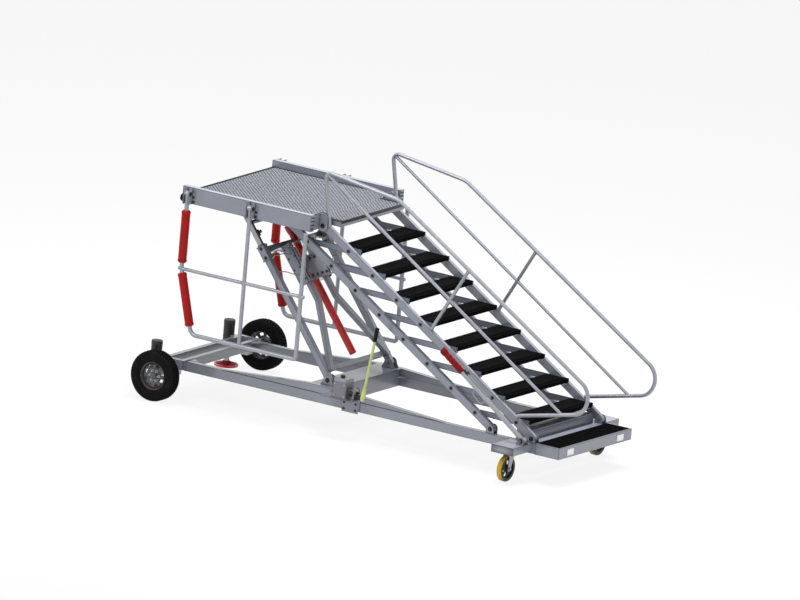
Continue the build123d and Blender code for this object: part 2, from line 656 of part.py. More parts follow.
def guard(side):
    """A tube frame with three posts and two rails, hanging from its hinge pins."""
    y = side * GUARD_Y
    rear, mid, front = GUARD_POSTS[side]
    knee, low = guard_levels(side)
    path = [(rear, y, GUARD_HINGE_Z), (rear, y, knee), (rear + GUARD_SLOPE_RUN, y, low),
            (front, y, low), (front, y, SIDE_BEAM_LOW - 14)]
    frame = bent_tube(path, [60.0, 80.0, 30.0], GUARD_D)
    frame += round_bar((mid, y, low), (mid, y, GUARD_HINGE_Z), GUARD_MID_POST_D)
    frame += round_bar((rear - 30, y, knee), (front + 34, y, knee), GUARD_MID_D)
    for x in (rear, mid):
        frame += round_bar((x - 22, y, GUARD_HINGE_Z), (x + 22, y, GUARD_HINGE_Z), GUARD_EYE_D)
        frame -= round_bar((x - 30, y, GUARD_HINGE_Z), (x + 30, y, GUARD_HINGE_Z), GUARD_PIN_D + 2 * PIN_FIT)
    return frame


def guard_pads(side):
    """Two foam sleeves on the rear post of a guard."""
    y = side * GUARD_Y
    rear = GUARD_POSTS[side][0]
    knee, low = guard_levels(side)
    unit = Vector(GUARD_SLOPE_RUN, 0, low - knee).normalized()
    bend = Vector(rear, y, knee)
    top = GUARD_HINGE_Z - GUARD_DROP[side] - PAD_TOP_BELOW
    runs = [
        (Vector(rear, y, top), Vector(rear, y, top - PAD_L)),
        (bend + unit * 40, bend + unit * (PAD_L + 45)),
    ]
    pads = None
    for start, end in runs:
        pad = round_bar(start, end, PAD_D) - round_bar(start, end, GUARD_D + 2 * PIN_FIT)
        pads = pad if pads is None else pads + pad
    return pads


# ---- mast: t runs up the legs from the foot pin, n is square to them ----
MAST_PLANE = Plane(origin=(MAST_X, 0, MAST_Z), x_dir=(MAST_COS, 0, -MAST_SIN), z_dir=(MAST_SIN, 0, MAST_COS))


def mast_block(t0, t1, y0, y1, n0, n1):
    return MAST_PLANE * block(-t1, -t0, min(y0, y1), max(y0, y1), n0, n1)


def mast_cross(t, n, y0, y1, diameter):
    return MAST_PLANE * cross_bar(-t, n, y0, y1, diameter)


def mast_rod(t0, t1, n, diameter):
    return MAST_PLANE * round_bar((-t0, 0, n), (-t1, 0, n), diameter)


def mast_outer_legs():
    """Two hollow legs, splayed struts and the head block that holds the cylinder."""
    y0 = MAST_LEG_Y - LEG_W / 2
    y1 = MAST_LEG_Y + LEG_W / 2
    half = LEG_DEPTH / 2
    leg = mast_block(0, COLLAR_HIGH, y0, y1, -half, half) + mast_cross(0, 0, y0, y1, LEG_DEPTH)
    leg += mast_block(COLLAR_LOW, COLLAR_HIGH, y0 - 8, y1 + 8, -half - 8, half + 8)
    cavity = mast_block(70, COLLAR_LOW, y0 + LEG_WALL, y1 - LEG_WALL, -half + LEG_WALL, half - LEG_WALL)
    guide_y = INNER_W / 2 + SEAT_GAP
    guide_n = INNER_DEPTH / 2 + SEAT_GAP
    cavity += mast_block(COLLAR_LOW - 1, COLLAR_HIGH + 1, MAST_LEG_Y - guide_y, MAST_LEG_Y + guide_y,
                         -guide_n, guide_n)
    strut_n = half - 8
    strut_foot = y0 - 17
    strut = None
    for start, end in (((1300, MAST_STRUT_Y), (763, MAST_STRUT_Y)), ((763, MAST_STRUT_Y), (90, strut_foot))):
        length = math.hypot(end[0] - start[0], end[1] - start[1])
        centre = (-(start[0] + end[0]) / 2, (start[1] + end[1]) / 2, strut_n)
        flat = Plane(origin=centre, x_dir=(start[0] - end[0], end[1] - start[1], 0), z_dir=(0, 0, 1))
        run = MAST_PLANE * extrude(flat * SlotCenterToCenter(length, MAST_STRUT_W), amount=MAST_STRUT_T)
        strut = run if strut is None else strut + run
    cheek = mast_block(960, 1370, 182, 190, -40, 92)
    pin_hole = mast_cross(0, 0, y0 - 1, y1 + 1, PIVOT_PIN_D + 2 * PIN_FIT)
    side = leg + strut + cheek - cavity - pin_hole
    legs = both_sides(side)
    legs += mast_block(960, 975, -190, 190, -40, 92)
    legs += mast_block(1355, 1370, -190, 190, -40, 92)
    legs += mast_block(1372, 1424, -y0, y0, -72, -22)
    legs += mast_block(75, 125, -y0, y0, -25, 25)
    return legs - mast_rod(900, 1500, CYLINDER_OFFSET, CYLINDER_D + 2 * PIN_FIT)


def cylinder_barrel():
    barrel = mast_rod(180, 1536, CYLINDER_OFFSET, CYLINDER_D)
    gland = mast_rod(1490, 1536, CYLINDER_OFFSET, CYLINDER_D + 14)
    return barrel + gland - mast_rod(240, 1537, CYLINDER_OFFSET, ROD_D + 2 * PIN_FIT)


def mast_inner_legs():
    y0 = MAST_LEG_Y - INNER_W / 2
    y1 = MAST_LEG_Y + INNER_W / 2
    half = INNER_DEPTH / 2
    leg = mast_block(600, MAST_LENGTH, y0, y1, -half, half) + mast_cross(MAST_LENGTH, 0, y0, y1, INNER_DEPTH)
    leg -= mast_cross(MAST_LENGTH, 0, y0 - 1, y1 + 1, PIVOT_PIN_D)
    return both_sides(leg) + mast_cross(1690, -28, -y0 - 1, y0 + 1, 40)


def cylinder_rod():
    rod = mast_rod(620, MAST_LENGTH, CYLINDER_OFFSET, ROD_D)
    rod += mast_cross(MAST_LENGTH, CYLINDER_OFFSET, -20, 20, 64)
    return rod - mast_cross(MAST_LENGTH, CYLINDER_OFFSET, -21, 21, PIVOT_PIN_D)


# ---- pump and lever ----
def pump_shelf():
    rear = PUMP_X - 200
    front = PUMP_X + 150
    shelf = block(rear, front, -RAIL_OUTER - PUMP_SHELF_W, -RAIL_OUTER, PUMP_FLOOR - 8, PUMP_FLOOR)
    web = side_plate([(rear, PUMP_FLOOR - 8), (front, PUMP_FLOOR - 8), (front, RAIL_BOTTOM + 8),
                      (front - 66, RAIL_BOTTOM - 2)], -RAIL_OUTER - 8, -RAIL_OUTER)
    return shelf + web


def pump_unit():
    y = PUMP_Y
    top = PUMP_FLOOR + PUMP_TANK_H
    foot_x, foot_z = PUMP_X + HANDLE_FOOT[0], HANDLE_FOOT[1]
    tank = block(PUMP_X - 72, PUMP_X + 80, y - 72, y + 72, PUMP_FLOOR, top)
    tank = fillet(tank.edges().filter_by(Axis.Z), 14)
    head = block(PUMP_X + 80, PUMP_X + 150, y - 40, y + 40, PUMP_FLOOR, PUMP_FLOOR + 100)
    ram = cross_bar(PUMP_X + 120, PUMP_FLOOR + 80, y - 55, y + 55, 44)
    filler = Pos(PUMP_X - 10, y, top + 8) * Cylinder(20, 16)
    socket = round_bar((PUMP_X + 140, y, PUMP_FLOOR + 30), (foot_x - 15, y, foot_z), 30)
    return tank + head + ram + filler + socket


def handle_ends():
    foot = Vector(PUMP_X + HANDLE_FOOT[0], PUMP_Y, HANDLE_FOOT[1])
    top = Vector(PUMP_X + HANDLE_TOP[0], PUMP_Y, HANDLE_TOP[1])
    return foot, top


def pump_handle():
    foot, top = handle_ends()
    boss = round_bar(foot - Vector(14, 0, 0), foot + Vector(14, 0, 0), 44)
    return round_bar(foot, top, 28) + boss


def pump_grip():
    foot, top = handle_ends()
    unit = (top - foot).normalized()
    return round_bar(top + unit * PIN_FIT, top + unit * HANDLE_GRIP, 38)


def lever_ears():
    parts = None
    for y in (LEVER_Y - LEVER_D / 2 - SIDE_GAP - EAR_T, LEVER_Y + LEVER_D / 2 + SIDE_GAP):
        ear = side_plate([(FOOT_X - 62, OUTRIGGER_TOP), (FOOT_X + 24, OUTRIGGER_TOP),
                          (FOOT_X + 24, FOOT_Z), (FOOT_X - 48, FOOT_Z)], y, y + EAR_T)
        ear += cross_bar(FOOT_X - 12, FOOT_Z, y, y + EAR_T, 72)
        parts = ear if parts is None else parts + ear
    pin = cross_bar(FOOT_X - 12, FOOT_Z, LEVER_Y - 55, LEVER_Y + 55, PIVOT_PIN_D)
    return parts + pin


def lever_point(distance):
    a = math.radians(LEVER_ANGLE)
    return FOOT_X - 12 - distance * math.cos(a), LEVER_Y, FOOT_Z + distance * math.sin(a)


def castor_lever():
    bar = round_bar(lever_point(10), lever_point(LEVER_LENGTH - LEVER_GRIP), LEVER_D)
    hub = cross_bar(FOOT_X - 12, FOOT_Z, LEVER_Y - LEVER_D / 2, LEVER_Y + LEVER_D / 2, 60)
    core = round_bar(lever_point(LEVER_LENGTH - LEVER_GRIP - 5), lever_point(LEVER_LENGTH - 10), 34)
    bore = cross_bar(FOOT_X - 12, FOOT_Z, LEVER_Y - 40, LEVER_Y + 40, PIVOT_PIN_D + 2 * PIN_FIT)
    return bar + hub + core - bore


def lever_grip():
    start = lever_point(LEVER_LENGTH - LEVER_GRIP + SEAT_GAP)
    end = lever_point(LEVER_LENGTH)
    grip = round_bar(start, end, LEVER_GRIP_D)
    grip -= round_bar(lever_point(LEVER_LENGTH - LEVER_GRIP - 5), lever_point(LEVER_LENGTH - 9.7), 34.6)
    return grip


def build_nodes():
    nodes = {
        "chassis_rails": chassis_rails(),
        "rear_cross_members": rear_cross_members(),
        "mid_cross_beam": mid_cross_beam(),
        "mast_brackets": mast_brackets(),
        "front_castor_beam": front_castor_beam(),
        "castor_plates": castor_plates(),
        "base_pivot_brackets": base_pivot_brackets(),
        "base_step": base_step(),
        "base_step_cover": base_step_cover(),
        "front_reflectors": front_reflectors(),
        "wheel_spindles": wheel_spindles(),
        "jack_tubes": jack_tubes(),
        "upper_stringers": upper_stringers(),
        "lower_stringers": lower_stringers(),
        "handrails": handrails(),
        "platform_frame": platform_frame(),
        "platform_deck": platform_deck(),
        "platform_buffers": platform_buffers(),
        "mast_outer_legs": mast_outer_legs(),
        "cylinder_barrel": cylinder_barrel(),
        "mast_inner_legs": mast_inner_legs(),
        "cylinder_rod": cylinder_rod(),
        "pump_shelf": pump_shelf(),
        "pump_unit": pump_unit(),
        "pump_handle": pump_handle(),
        "pump_grip": pump_grip(),
        "lever_ears": lever_ears(),
        "castor_lever": castor_lever(),
        "lever_grip": lever_grip(),
    }
    for name, side in (("near", -1), ("far", 1)):
        nodes[f"tyre_{name}"] = tyre(side)
        nodes[f"rim_{name}"] = rim(side)
        nodes[f"castor_fork_{name}"] = castor_fork(side)
        nodes[f"castor_wheel_{name}"] = castor_wheel(side)
        nodes[f"jack_leg_{name}"] = jack_leg(side)
        nodes[f"guard_{name}"] = guard(side)
        nodes[f"guard_pads_{name}"] = guard_pads(side)
    for index in range(STEP_COUNT):
        nodes[f"step_{index + 1}"] = step(index)
    return nodes


os.makedirs("parts", exist_ok=True)
NODES = build_nodes()
BOX = Compound([solid for shape in NODES.values() for solid in shape.solids()]).bounding_box()
ORIGIN_X = (BOX.min.X + BOX.max.X) / 2
for node, shape in NODES.items():
    export_step(Pos(-ORIGIN_X, 0, 0) * shape, f"parts/{node}.step")
print(f"{len(NODES)} nodes, size {BOX.size.X:.1f} x {BOX.size.Y:.1f} x {BOX.size.Z:.1f} mm")
print(f"origin {ORIGIN_X:.3f} mm along, across {BOX.min.Y:.1f} to {BOX.max.Y:.1f}, from {BOX.min.Z:.2f}")
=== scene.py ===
"""Looks of the mobile aircraft stairs: finishes, modelled detail, floor, light and camera."""

import json
import math

import bmesh
import bpy
from mathutils import Matrix, Vector

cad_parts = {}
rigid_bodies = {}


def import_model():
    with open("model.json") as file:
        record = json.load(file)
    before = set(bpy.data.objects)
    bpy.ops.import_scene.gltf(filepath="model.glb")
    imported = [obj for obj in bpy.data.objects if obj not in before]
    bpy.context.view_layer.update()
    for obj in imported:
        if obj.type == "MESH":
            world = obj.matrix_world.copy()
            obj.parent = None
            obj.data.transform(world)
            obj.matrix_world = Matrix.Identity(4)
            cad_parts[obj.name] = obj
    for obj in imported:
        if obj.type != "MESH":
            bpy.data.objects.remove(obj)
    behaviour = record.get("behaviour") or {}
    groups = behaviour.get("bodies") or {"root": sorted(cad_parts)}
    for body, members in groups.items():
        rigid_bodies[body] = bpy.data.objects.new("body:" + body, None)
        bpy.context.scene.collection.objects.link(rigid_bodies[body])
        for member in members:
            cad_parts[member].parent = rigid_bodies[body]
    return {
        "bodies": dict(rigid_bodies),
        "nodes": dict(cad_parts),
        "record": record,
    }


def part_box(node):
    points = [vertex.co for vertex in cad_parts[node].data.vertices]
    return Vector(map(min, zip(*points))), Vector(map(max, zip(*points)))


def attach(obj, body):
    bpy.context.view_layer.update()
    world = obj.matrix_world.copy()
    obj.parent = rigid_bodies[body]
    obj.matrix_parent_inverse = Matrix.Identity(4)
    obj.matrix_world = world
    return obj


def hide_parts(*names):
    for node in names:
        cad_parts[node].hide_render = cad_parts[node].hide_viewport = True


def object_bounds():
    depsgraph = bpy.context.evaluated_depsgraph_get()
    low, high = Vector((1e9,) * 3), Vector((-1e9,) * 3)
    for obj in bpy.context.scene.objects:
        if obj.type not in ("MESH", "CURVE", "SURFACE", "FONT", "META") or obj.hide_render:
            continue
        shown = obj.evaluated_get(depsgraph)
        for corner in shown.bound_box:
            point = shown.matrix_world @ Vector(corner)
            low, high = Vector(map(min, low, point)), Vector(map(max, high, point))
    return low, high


bl_info = {
    "name": "Mobile Aircraft Stairs",
    "version": (1, 0, 0),
    "blender": (4, 5, 0),
    "location": "View3D > Sidebar > Stairs",
    "description": "Dresses the frame of a mobile aircraft stair with its finishes and fine parts",
    "category": "Object",
}

EDGE_REACH = 0.012
# Painted shade: edges and corners are darkened to this share of their colour, like dark outlines.
EDGE_SHADE = 0.07
GRIT_BLACK = (0.002, 0.002, 0.0022)
GUSSET_LENGTH = 0.09
GUSSET_WALL = 0.006

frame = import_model()
NODES = frame["nodes"]
CAD_LOW, CAD_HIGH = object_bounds()

STEP_COUNT = sum(1 for name in frame["bodies"] if name.startswith("step_"))
SIDES = {"near": -1.0, "far": 1.0}


# ---- places read from the frame ----
def low(node):
    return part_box(node)[0]


def high(node):
    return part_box(node)[1]


def middle(node):
    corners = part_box(node)
    return (corners[0] + corners[1]) / 2


# ---- selecting and shaping by hand ----
def deselect_all():
    for obj in bpy.context.selected_objects:
        obj.select_set(False)


def take(obj):
    """Makes one object the only selected and active one."""
    deselect_all()
    obj.select_set(True)
    bpy.context.view_layer.objects.active = obj


class Edit:
    """Edit mode on one object, with all of its mesh deselected to begin with."""

    def __init__(self, obj):
        self.obj = obj

    def __enter__(self):
        take(self.obj)
        bpy.ops.object.mode_set(mode="EDIT")
        bpy.ops.mesh.select_mode(type="FACE")
        bpy.ops.mesh.select_all(action="DESELECT")
        return self

    def __exit__(self, *error):
        bpy.ops.object.mode_set(mode="OBJECT")

    def faces(self, test):
        """Selects the faces whose centre and normal pass the test."""
        bpy.ops.mesh.select_mode(type="FACE")
        bpy.ops.mesh.select_all(action="DESELECT")
        mesh = bmesh.from_edit_mesh(self.obj.data)
        for face in mesh.faces:
            if test(face.calc_center_median(), face.normal):
                face.select_set(True)
        bmesh.update_edit_mesh(self.obj.data)

    def edges(self, test):
        """Selects the edges whose two ends pass the test."""
        bpy.ops.mesh.select_mode(type="EDGE")
        bpy.ops.mesh.select_all(action="DESELECT")
        mesh = bmesh.from_edit_mesh(self.obj.data)
        for edge in mesh.edges:
            if test(edge.verts[0].co, edge.verts[1].co):
                edge.select_set(True)
        bmesh.update_edit_mesh(self.obj.data)


def named(obj, name):
    obj.name = name
    obj.data.name = name
    return obj


def shade(obj, angle=35.0):
    take(obj)
    bpy.ops.object.shade_smooth_by_angle(angle=math.radians(angle))


def close_up(obj):
    """Merges doubles and turns the faces of a closed shape outwards."""
    with Edit(obj):
        bpy.ops.mesh.select_all(action="SELECT")
        bpy.ops.mesh.remove_doubles(threshold=1e-5)
        bpy.ops.mesh.normals_make_consistent(inside=False)


def turned(name, profile, centre, axis, steps=48):
    """A round piece spun from (distance along the axis, radius) points, about any axis."""
    along = Vector(axis).normalized()
    side = along.orthogonal().normalized()
    spots = [Vector(centre) + along * t + side * r for t, r in profile]
    bpy.ops.mesh.primitive_plane_add(size=0.01, location=spots[0])
    obj = named(bpy.context.object, name)
    bpy.ops.object.transform_apply(location=True, rotation=True, scale=True)
    with Edit(obj):
        bpy.ops.mesh.select_mode(type="VERT")
        bpy.ops.mesh.select_all(action="SELECT")
        bpy.ops.mesh.merge(type="CENTER")
        for here, there in zip(spots, spots[1:]):
            bpy.ops.mesh.extrude_region_move(TRANSFORM_OT_translate={"value": there - here})
        bpy.ops.mesh.select_all(action="SELECT")
        bpy.ops.mesh.spin(steps=steps, angle=2 * math.pi, center=centre, axis=along)
    close_up(obj)
    return obj


def box_piece(name, corner_low, corner_high, bevel=0.002, segments=2):
    """A block whose edges are eased in edit mode."""
    a, b = Vector(corner_low), Vector(corner_high)
    bpy.ops.mesh.primitive_cube_add(size=1.0, location=(a + b) / 2, scale=b - a)
    obj = named(bpy.context.object, name)
    take(obj)
    bpy.ops.object.transform_apply(location=True, rotation=True, scale=True)
    with Edit(obj):
        bpy.ops.mesh.select_all(action="SELECT")
        if bevel:
            bpy.ops.mesh.bevel(offset=bevel, segments=segments, affect="EDGES")
    return obj


def tube_piece(name, points, diameter, corner=0.0, around=16):
    """A round bar along points, its corners rounded and its ends closed."""
    curve = bpy.data.curves.new(name, "CURVE")
    curve.dimensions = "3D"
    curve.bevel_depth = diameter / 2
    curve.bevel_resolution = around // 4
    curve.use_fill_caps = True
    route = rounded(points, corner) if corner else [Vector(p) for p in points]
    spline = curve.splines.new("POLY")
    spline.points.add(len(route) - 1)
    for spot, place in zip(spline.points, route):
        spot.co = (*place, 1.0)
    obj = bpy.data.objects.new(name, curve)
    bpy.context.scene.collection.objects.link(obj)
    take(obj)
    bpy.ops.object.convert(target="MESH")
    obj = bpy.context.object
    close_up(obj)
    return named(obj, name)


def rounded(points, radius, steps=8):
    """The points of a route whose corners are replaced by arcs."""
    spots = [Vector(p) for p in points]
    route = [spots[0]]
    for before, corner, after in zip(spots, spots[1:], spots[2:]):
        back = (before - corner).normalized()
        on = (after - corner).normalized()
        half = back.angle(on) / 2
        reach = radius / math.tan(half)
        centre = corner + (back + on).normalized() * (radius / math.sin(half))
        first, last = corner + back * reach - centre, corner + on * reach - centre
        turn = first.angle(last)
        for k in range(steps + 1):
            share = k / steps
            route.append(centre + (first * math.sin((1 - share) * turn) + last * math.sin(share * turn))
                         / math.sin(turn))
    route.append(spots[-1])
    return route


def bolt_head(name, flats, height):
    """A hexagon head on a washer, pointing along +Z with its seat at the origin."""
    bpy.ops.mesh.primitive_cylinder_add(vertices=6, radius=flats / math.sqrt(3), depth=height,
                                        location=(0, 0, height * 0.5 + 0.002))
    head = named(bpy.context.object, name)
    take(head)
    bpy.ops.object.transform_apply(location=True, rotation=True, scale=True)
    with Edit(head) as edit:
        edit.faces(lambda centre, normal: normal.z > 0.9)
        bpy.ops.mesh.inset(thickness=flats * 0.07)
        bpy.ops.transform.translate(value=(0, 0, height * 0.12))
    washer = turned(name + "_washer", [(0, 0), (0, flats * 0.86), (0.0018, flats * 0.86),
                                       (0.0022, flats * 0.8), (0.0022, 0)], (0, 0, 0), (0, 0, 1), 20)
    return joined(name, [head, washer])


def joined(name, pieces):
    deselect_all()
    for piece in pieces:
        piece.select_set(True)
    bpy.context.view_layer.objects.active = pieces[0]
    if len(pieces) > 1:
        bpy.ops.object.join()
    return named(bpy.context.object, name)


def copies(name, pattern, places):
    """One piece made of copies of a pattern, each set by (seat, direction)."""
    made = []
    for seat, direction in places:
        copy = pattern.copy()
        copy.data = pattern.data.copy()
        bpy.context.scene.collection.objects.link(copy)
        turn = Vector(direction).to_track_quat("Z", "Y").to_matrix().to_4x4()
        copy.data.transform(Matrix.Translation(seat) @ turn)
        made.append(copy)
    bpy.data.objects.remove(pattern)
    return joined(name, made)


def set_down(obj, body, finish, slot=None, replaces=(), smooth=35.0):
    """Finishes a piece: shading, its material and the body it rides on. The slot argument is not used."""
    if smooth:
        shade(obj, smooth)
    obj.data.materials.clear()
    obj.data.materials.append(MATERIALS[finish])
    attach(obj, body)
    if replaces:
        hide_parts(*replaces)
    return obj


def fitted(name, pieces, body, finish, **how):
    """Joins pieces into one and sets it down."""
    return set_down(joined(name, pieces), body, finish, **how)


def bolts(name, flats, height, places, body, finish="black_steel"):
    """Like bolt heads on their seats, each place a seat and a direction."""
    return set_down(copies(name, bolt_head("bolt", flats, height), places), body, finish)


def side_box(name, s, xs, ys, zs, bevel=0.002, segments=2):
    """A block on one side of the stairs, from its reaches along, across and up."""
    y0, y1 = sorted((s * ys[0], s * ys[1]))
    return box_piece(name, at(xs[0], y0, zs[0]), at(xs[1], y1, zs[1]), bevel, segments)


def gusset(s, x, turn, y, z, wide, cut):
    """A corner plate with its free corner cut off, its square corner at x and at its outer side."""
    bpy.ops.mesh.primitive_cube_add(size=1.0, location=at(x + turn * GUSSET_LENGTH / 2, s * y, z),
                                    scale=(GUSSET_LENGTH, wide, GUSSET_WALL))
    plate = named(bpy.context.object, "gusset")
    take(plate)
    bpy.ops.object.transform_apply(location=True, rotation=True, scale=True)
    outer = s * (y + wide / 2)
    inner_x = AXLE_X + x
    with Edit(plate) as edit:
        edit.edges(lambda a, b: abs(a.y - b.y) < 1e-6 and abs(a.x - b.x) < 1e-6
                   and abs(a.y - outer) > 0.02 and abs(a.x - inner_x) > 0.02)
        bpy.ops.mesh.bevel(offset=cut, segments=1, affect="EDGES")
    return plate


# ---- shader graphs written as sums ----
class Value:
    """The output of a node, so that sums on it add Math nodes."""

    def __init__(self, graph, end):
        self.graph = graph
        self.end = end

    def _sum(self, operation, *terms):
        return self.graph.add("ShaderNodeMath", {"operation": operation}, dict(enumerate(terms)))

    def __add__(self, other):
        return self._sum("ADD", self, other)

    def __sub__(self, other):
        return self._sum("SUBTRACT", self, other)

    def __rsub__(self, other):
        return self._sum("SUBTRACT", other, self)

    def __mul__(self, other):
        return self._sum("MULTIPLY", self, other)

    __radd__ = __add__
    __rmul__ = __mul__

    def under(self, other):
        """1 where this is less than the other."""
        return self._sum("LESS_THAN", self, other)

    def size(self):
        return self._sum("ABSOLUTE", self)

    def wave(self):
        return self._sum("SINE", self)

    def between(self, dark, bright):
        """0 at dark, 1 at bright, held outside them."""
        return self.graph.add("ShaderNodeMapRange", {"clamp": True}, {0: self, 1: dark, 2: bright})


class Finish:
    """One material and its nodes."""

    def __init__(self, name, **constants):
        self.material = bpy.data.materials.new(name)
        self.material.use_nodes = True
        self.tree = self.material.node_tree
        self.shader = self.tree.nodes["Principled BSDF"]
        for socket, value in constants.items():
            self.shader.inputs[socket.replace("_", " ")].default_value = value
        self.place = self.add("ShaderNodeTexCoord", {}, {}, "Object")

    def add(self, kind, settings, inputs, output=0):
        """Adds a node, its settings first, then the values or links of its sockets."""
        node = self.tree.nodes.new(kind)
        for setting, value in settings.items():
            setattr(node, setting, value)
        for socket, value in inputs.items():
            self.feed(node.inputs[socket], value)
        return Value(self, node.outputs[output])

    def feed(self, socket, value):
        if isinstance(value, Value):
            self.tree.links.new(value.end, socket)
        elif hasattr(socket.default_value, "__len__") and len(socket.default_value) == 4 and len(value) == 3:
            socket.default_value = (*value, 1.0)
        else:
            socket.default_value = value

    def set(self, socket, value):
        self.feed(self.shader.inputs[socket], value)

    def axis(self, letter):
        return self.add("ShaderNodeSeparateXYZ", {}, {0: self.place}, letter.upper())

    def stretched(self, scale):
        return self.add("ShaderNodeMapping", {}, {"Vector": self.place, "Scale": scale})

    def noise(self, scale, detail=3.0, roughness=0.55, place=None):
        sockets = {"Vector": place or self.place, "Scale": scale, "Detail": detail, "Roughness": roughness}
        return self.add("ShaderNodeTexNoise", {}, sockets)

    def cells(self, scale, feature="F1"):
        return self.add("ShaderNodeTexVoronoi", {"feature": feature}, {"Vector": self.place, "Scale": scale})

    def blend(self, share, first, second):
        """Colours, or values, mixed by a share."""
        return self.add("ShaderNodeMix", {"data_type": "RGBA"}, {0: share, 6: first, 7: second}, 2)

    def edges(self, radius=EDGE_REACH):
        """1 along corners, 0 on flats."""
        eased = self.add("ShaderNodeBevel", {"samples": 4}, {"Radius": radius})
        flat = self.add("ShaderNodeNewGeometry", {}, {}, "Normal")
        alike = self.add("ShaderNodeVectorMath", {"operation": "DOT_PRODUCT"}, {0: eased, 1: flat}, "Value")
        return (1.0 - alike).between(0.003, 0.05)

    def bump(self, height, strength=0.3, distance=0.001):
        self.set("Normal", self.add("ShaderNodeBump", {}, {"Strength": strength, "Distance": distance,
                                                           "Height": height}))


def tone(colour, factor):
    return tuple(min(1.0, c * factor) for c in colour)


def painted(name, colour, roughness=0.42, edge_shade_share=0.55, metallic=0.0, grain=260.0, coat=0.0):
    """Sprayed paint on steel: orange peel, faint cloudiness, dulled dust, and painted shade that darkens the
    edges and corners like outlines.
    """
    made = Finish(name, Metallic=metallic, Coat_Weight=coat, Coat_Roughness=0.16)
    cloud = made.noise(3.2, 4.0)
    fine = made.noise(38.0, 5.0, 0.6)
    # Painted shade: a dark line along every edge and corner, broken only a little by noise, scaled by the
    # share given.
    edge_shade_mask = made.edges() * made.noise(22.0, 4.0, 0.65).between(0.2, 0.36) * edge_shade_share
    colours = made.blend(cloud.between(0.35, 0.65), tone(colour, 0.93), tone(colour, 1.06))
    colours = made.blend(fine.between(0.62, 0.8) * 0.35, colours, tone(colour, 0.72))
    made.set("Base Color", made.blend(edge_shade_mask, colours, tone(colour, EDGE_SHADE)))
    made.set("Roughness", cloud * 0.16 + fine * 0.1 + (roughness - 0.13))
    made.bump(made.noise(grain, 2.0), 0.18, 0.0006)
    return made.material


def plain_metal(name, colour, roughness=0.32, brush=(1.0, 1.0, 1.0), metallic=1.0):
    """Bare or plated metal with a faint drawn grain."""
    made = Finish(name, Metallic=metallic)
    grain = made.noise(90.0, 4.0, 0.6, made.stretched(brush))
    cloud = made.noise(9.0, 3.0)
    made.set("Base Color", made.blend(cloud.between(0.3, 0.7), tone(colour, 0.9), tone(colour, 1.05)))
    made.set("Roughness", grain * 0.2 + cloud * 0.12 + (roughness - 0.16))
    made.bump(grain, 0.12, 0.0005)
    return made.material


def rubber(name, colour=(0.006, 0.006, 0.0065), roughness=0.72):
    """Moulded rubber, dusty in patches."""
    made = Finish(name, Specular_IOR_Level=0.06)
    dust = made.noise(14.0, 5.0, 0.65)
    made.set("Base Color", made.blend(dust.between(0.5, 0.8) * 0.4, colour, tuple(0.025 + c for c in colour)))
    made.set("Roughness", dust * 0.25 + (roughness - 0.1))
    made.bump(made.noise(420.0, 2.0), 0.35, 0.0006)
    return made.material


def moulded(name, colour, roughness=0.4):
    """Moulded plastic or a dipped grip, finely pebbled."""
    made = Finish(name, Specular_IOR_Level=0.14)
    cloud = made.noise(16.0, 3.0)
    made.set("Base Color", made.blend(cloud.between(0.35, 0.7), tone(colour, 0.9), tone(colour, 1.08)))
    made.set("Roughness", cloud * 0.16 + (roughness - 0.08))
    made.bump(made.cells(420.0), 0.2, 0.0005)
    return made.material


def grit(made):
    """Colour and height of a black anti-slip coat with scattered bright grains."""
    grains = made.cells(520.0)
    spark = made.noise(900.0, 2.0).between(0.64, 0.74)
    worn = made.noise(7.0, 4.0).between(0.52, 0.75)
    colours = made.blend(spark * 0.1, GRIT_BLACK, (0.08, 0.08, 0.085))
    colours = made.blend(worn * 0.25, colours, (0.006, 0.006, 0.0065))
    return colours, grains


def step_finish(colour):
    """Steps: the folded tread is gritted black between its painted arms, whose edges and corners carry
    painted shade.
    """
    made = Finish("step_finish", Specular_IOR_Level=0.02)
    tread = made.axis("y").size().under(ARM_INNER_FACE)
    black, grains = grit(made)
    cloud = made.noise(3.2, 4.0)
    grey = made.blend(cloud.between(0.35, 0.65), tone(colour, 0.93), tone(colour, 1.06))
    # Painted shade: the arms' edges and corners are darkened almost to black, like outlines.
    grey = made.blend(made.edges() * 0.85, grey, tone(colour, EDGE_SHADE))
    made.set("Base Color", made.blend(tread, grey, black))
    made.set("Roughness", tread * 0.42 + (cloud * 0.16 + 0.3))
    made.bump(grains * tread, 0.6, 0.0009)
    return made.material


def grit_finish():
    made = Finish("black_grit", Specular_IOR_Level=0.03)
    black, grains = grit(made)
    made.set("Base Color", black)
    made.set("Roughness", made.noise(40.0) * 0.2 + 0.68)
    made.bump(grains, 0.6, 0.0009)
    return made.material


def deck_finish(colour):
    """Rolled plate: the lugs' tops painted far paler than a duller ground, a painted highlight."""
    made = Finish("deck_plate", Specular_IOR_Level=0.16)
    cloud = made.noise(4.5, 4.0)
    fine = made.noise(130.0, 4.0, 0.6)
    # Painted highlight: the upper part of every lug is eleven times paler than the ground.
    top = made.axis("z").between(PLATE_TOP + 0.0006, PLATE_TOP + 0.0018)
    ground = made.blend(cloud.between(0.35, 0.68), tone(colour, 0.7), tone(colour, 1.1))
    made.set("Base Color", made.blend(top, ground, tone(colour, 11.0)))
    made.set("Roughness", fine * 0.2 + cloud * 0.15 + 0.42)
    made.bump(fine, 0.25, 0.0005)
    return made.material


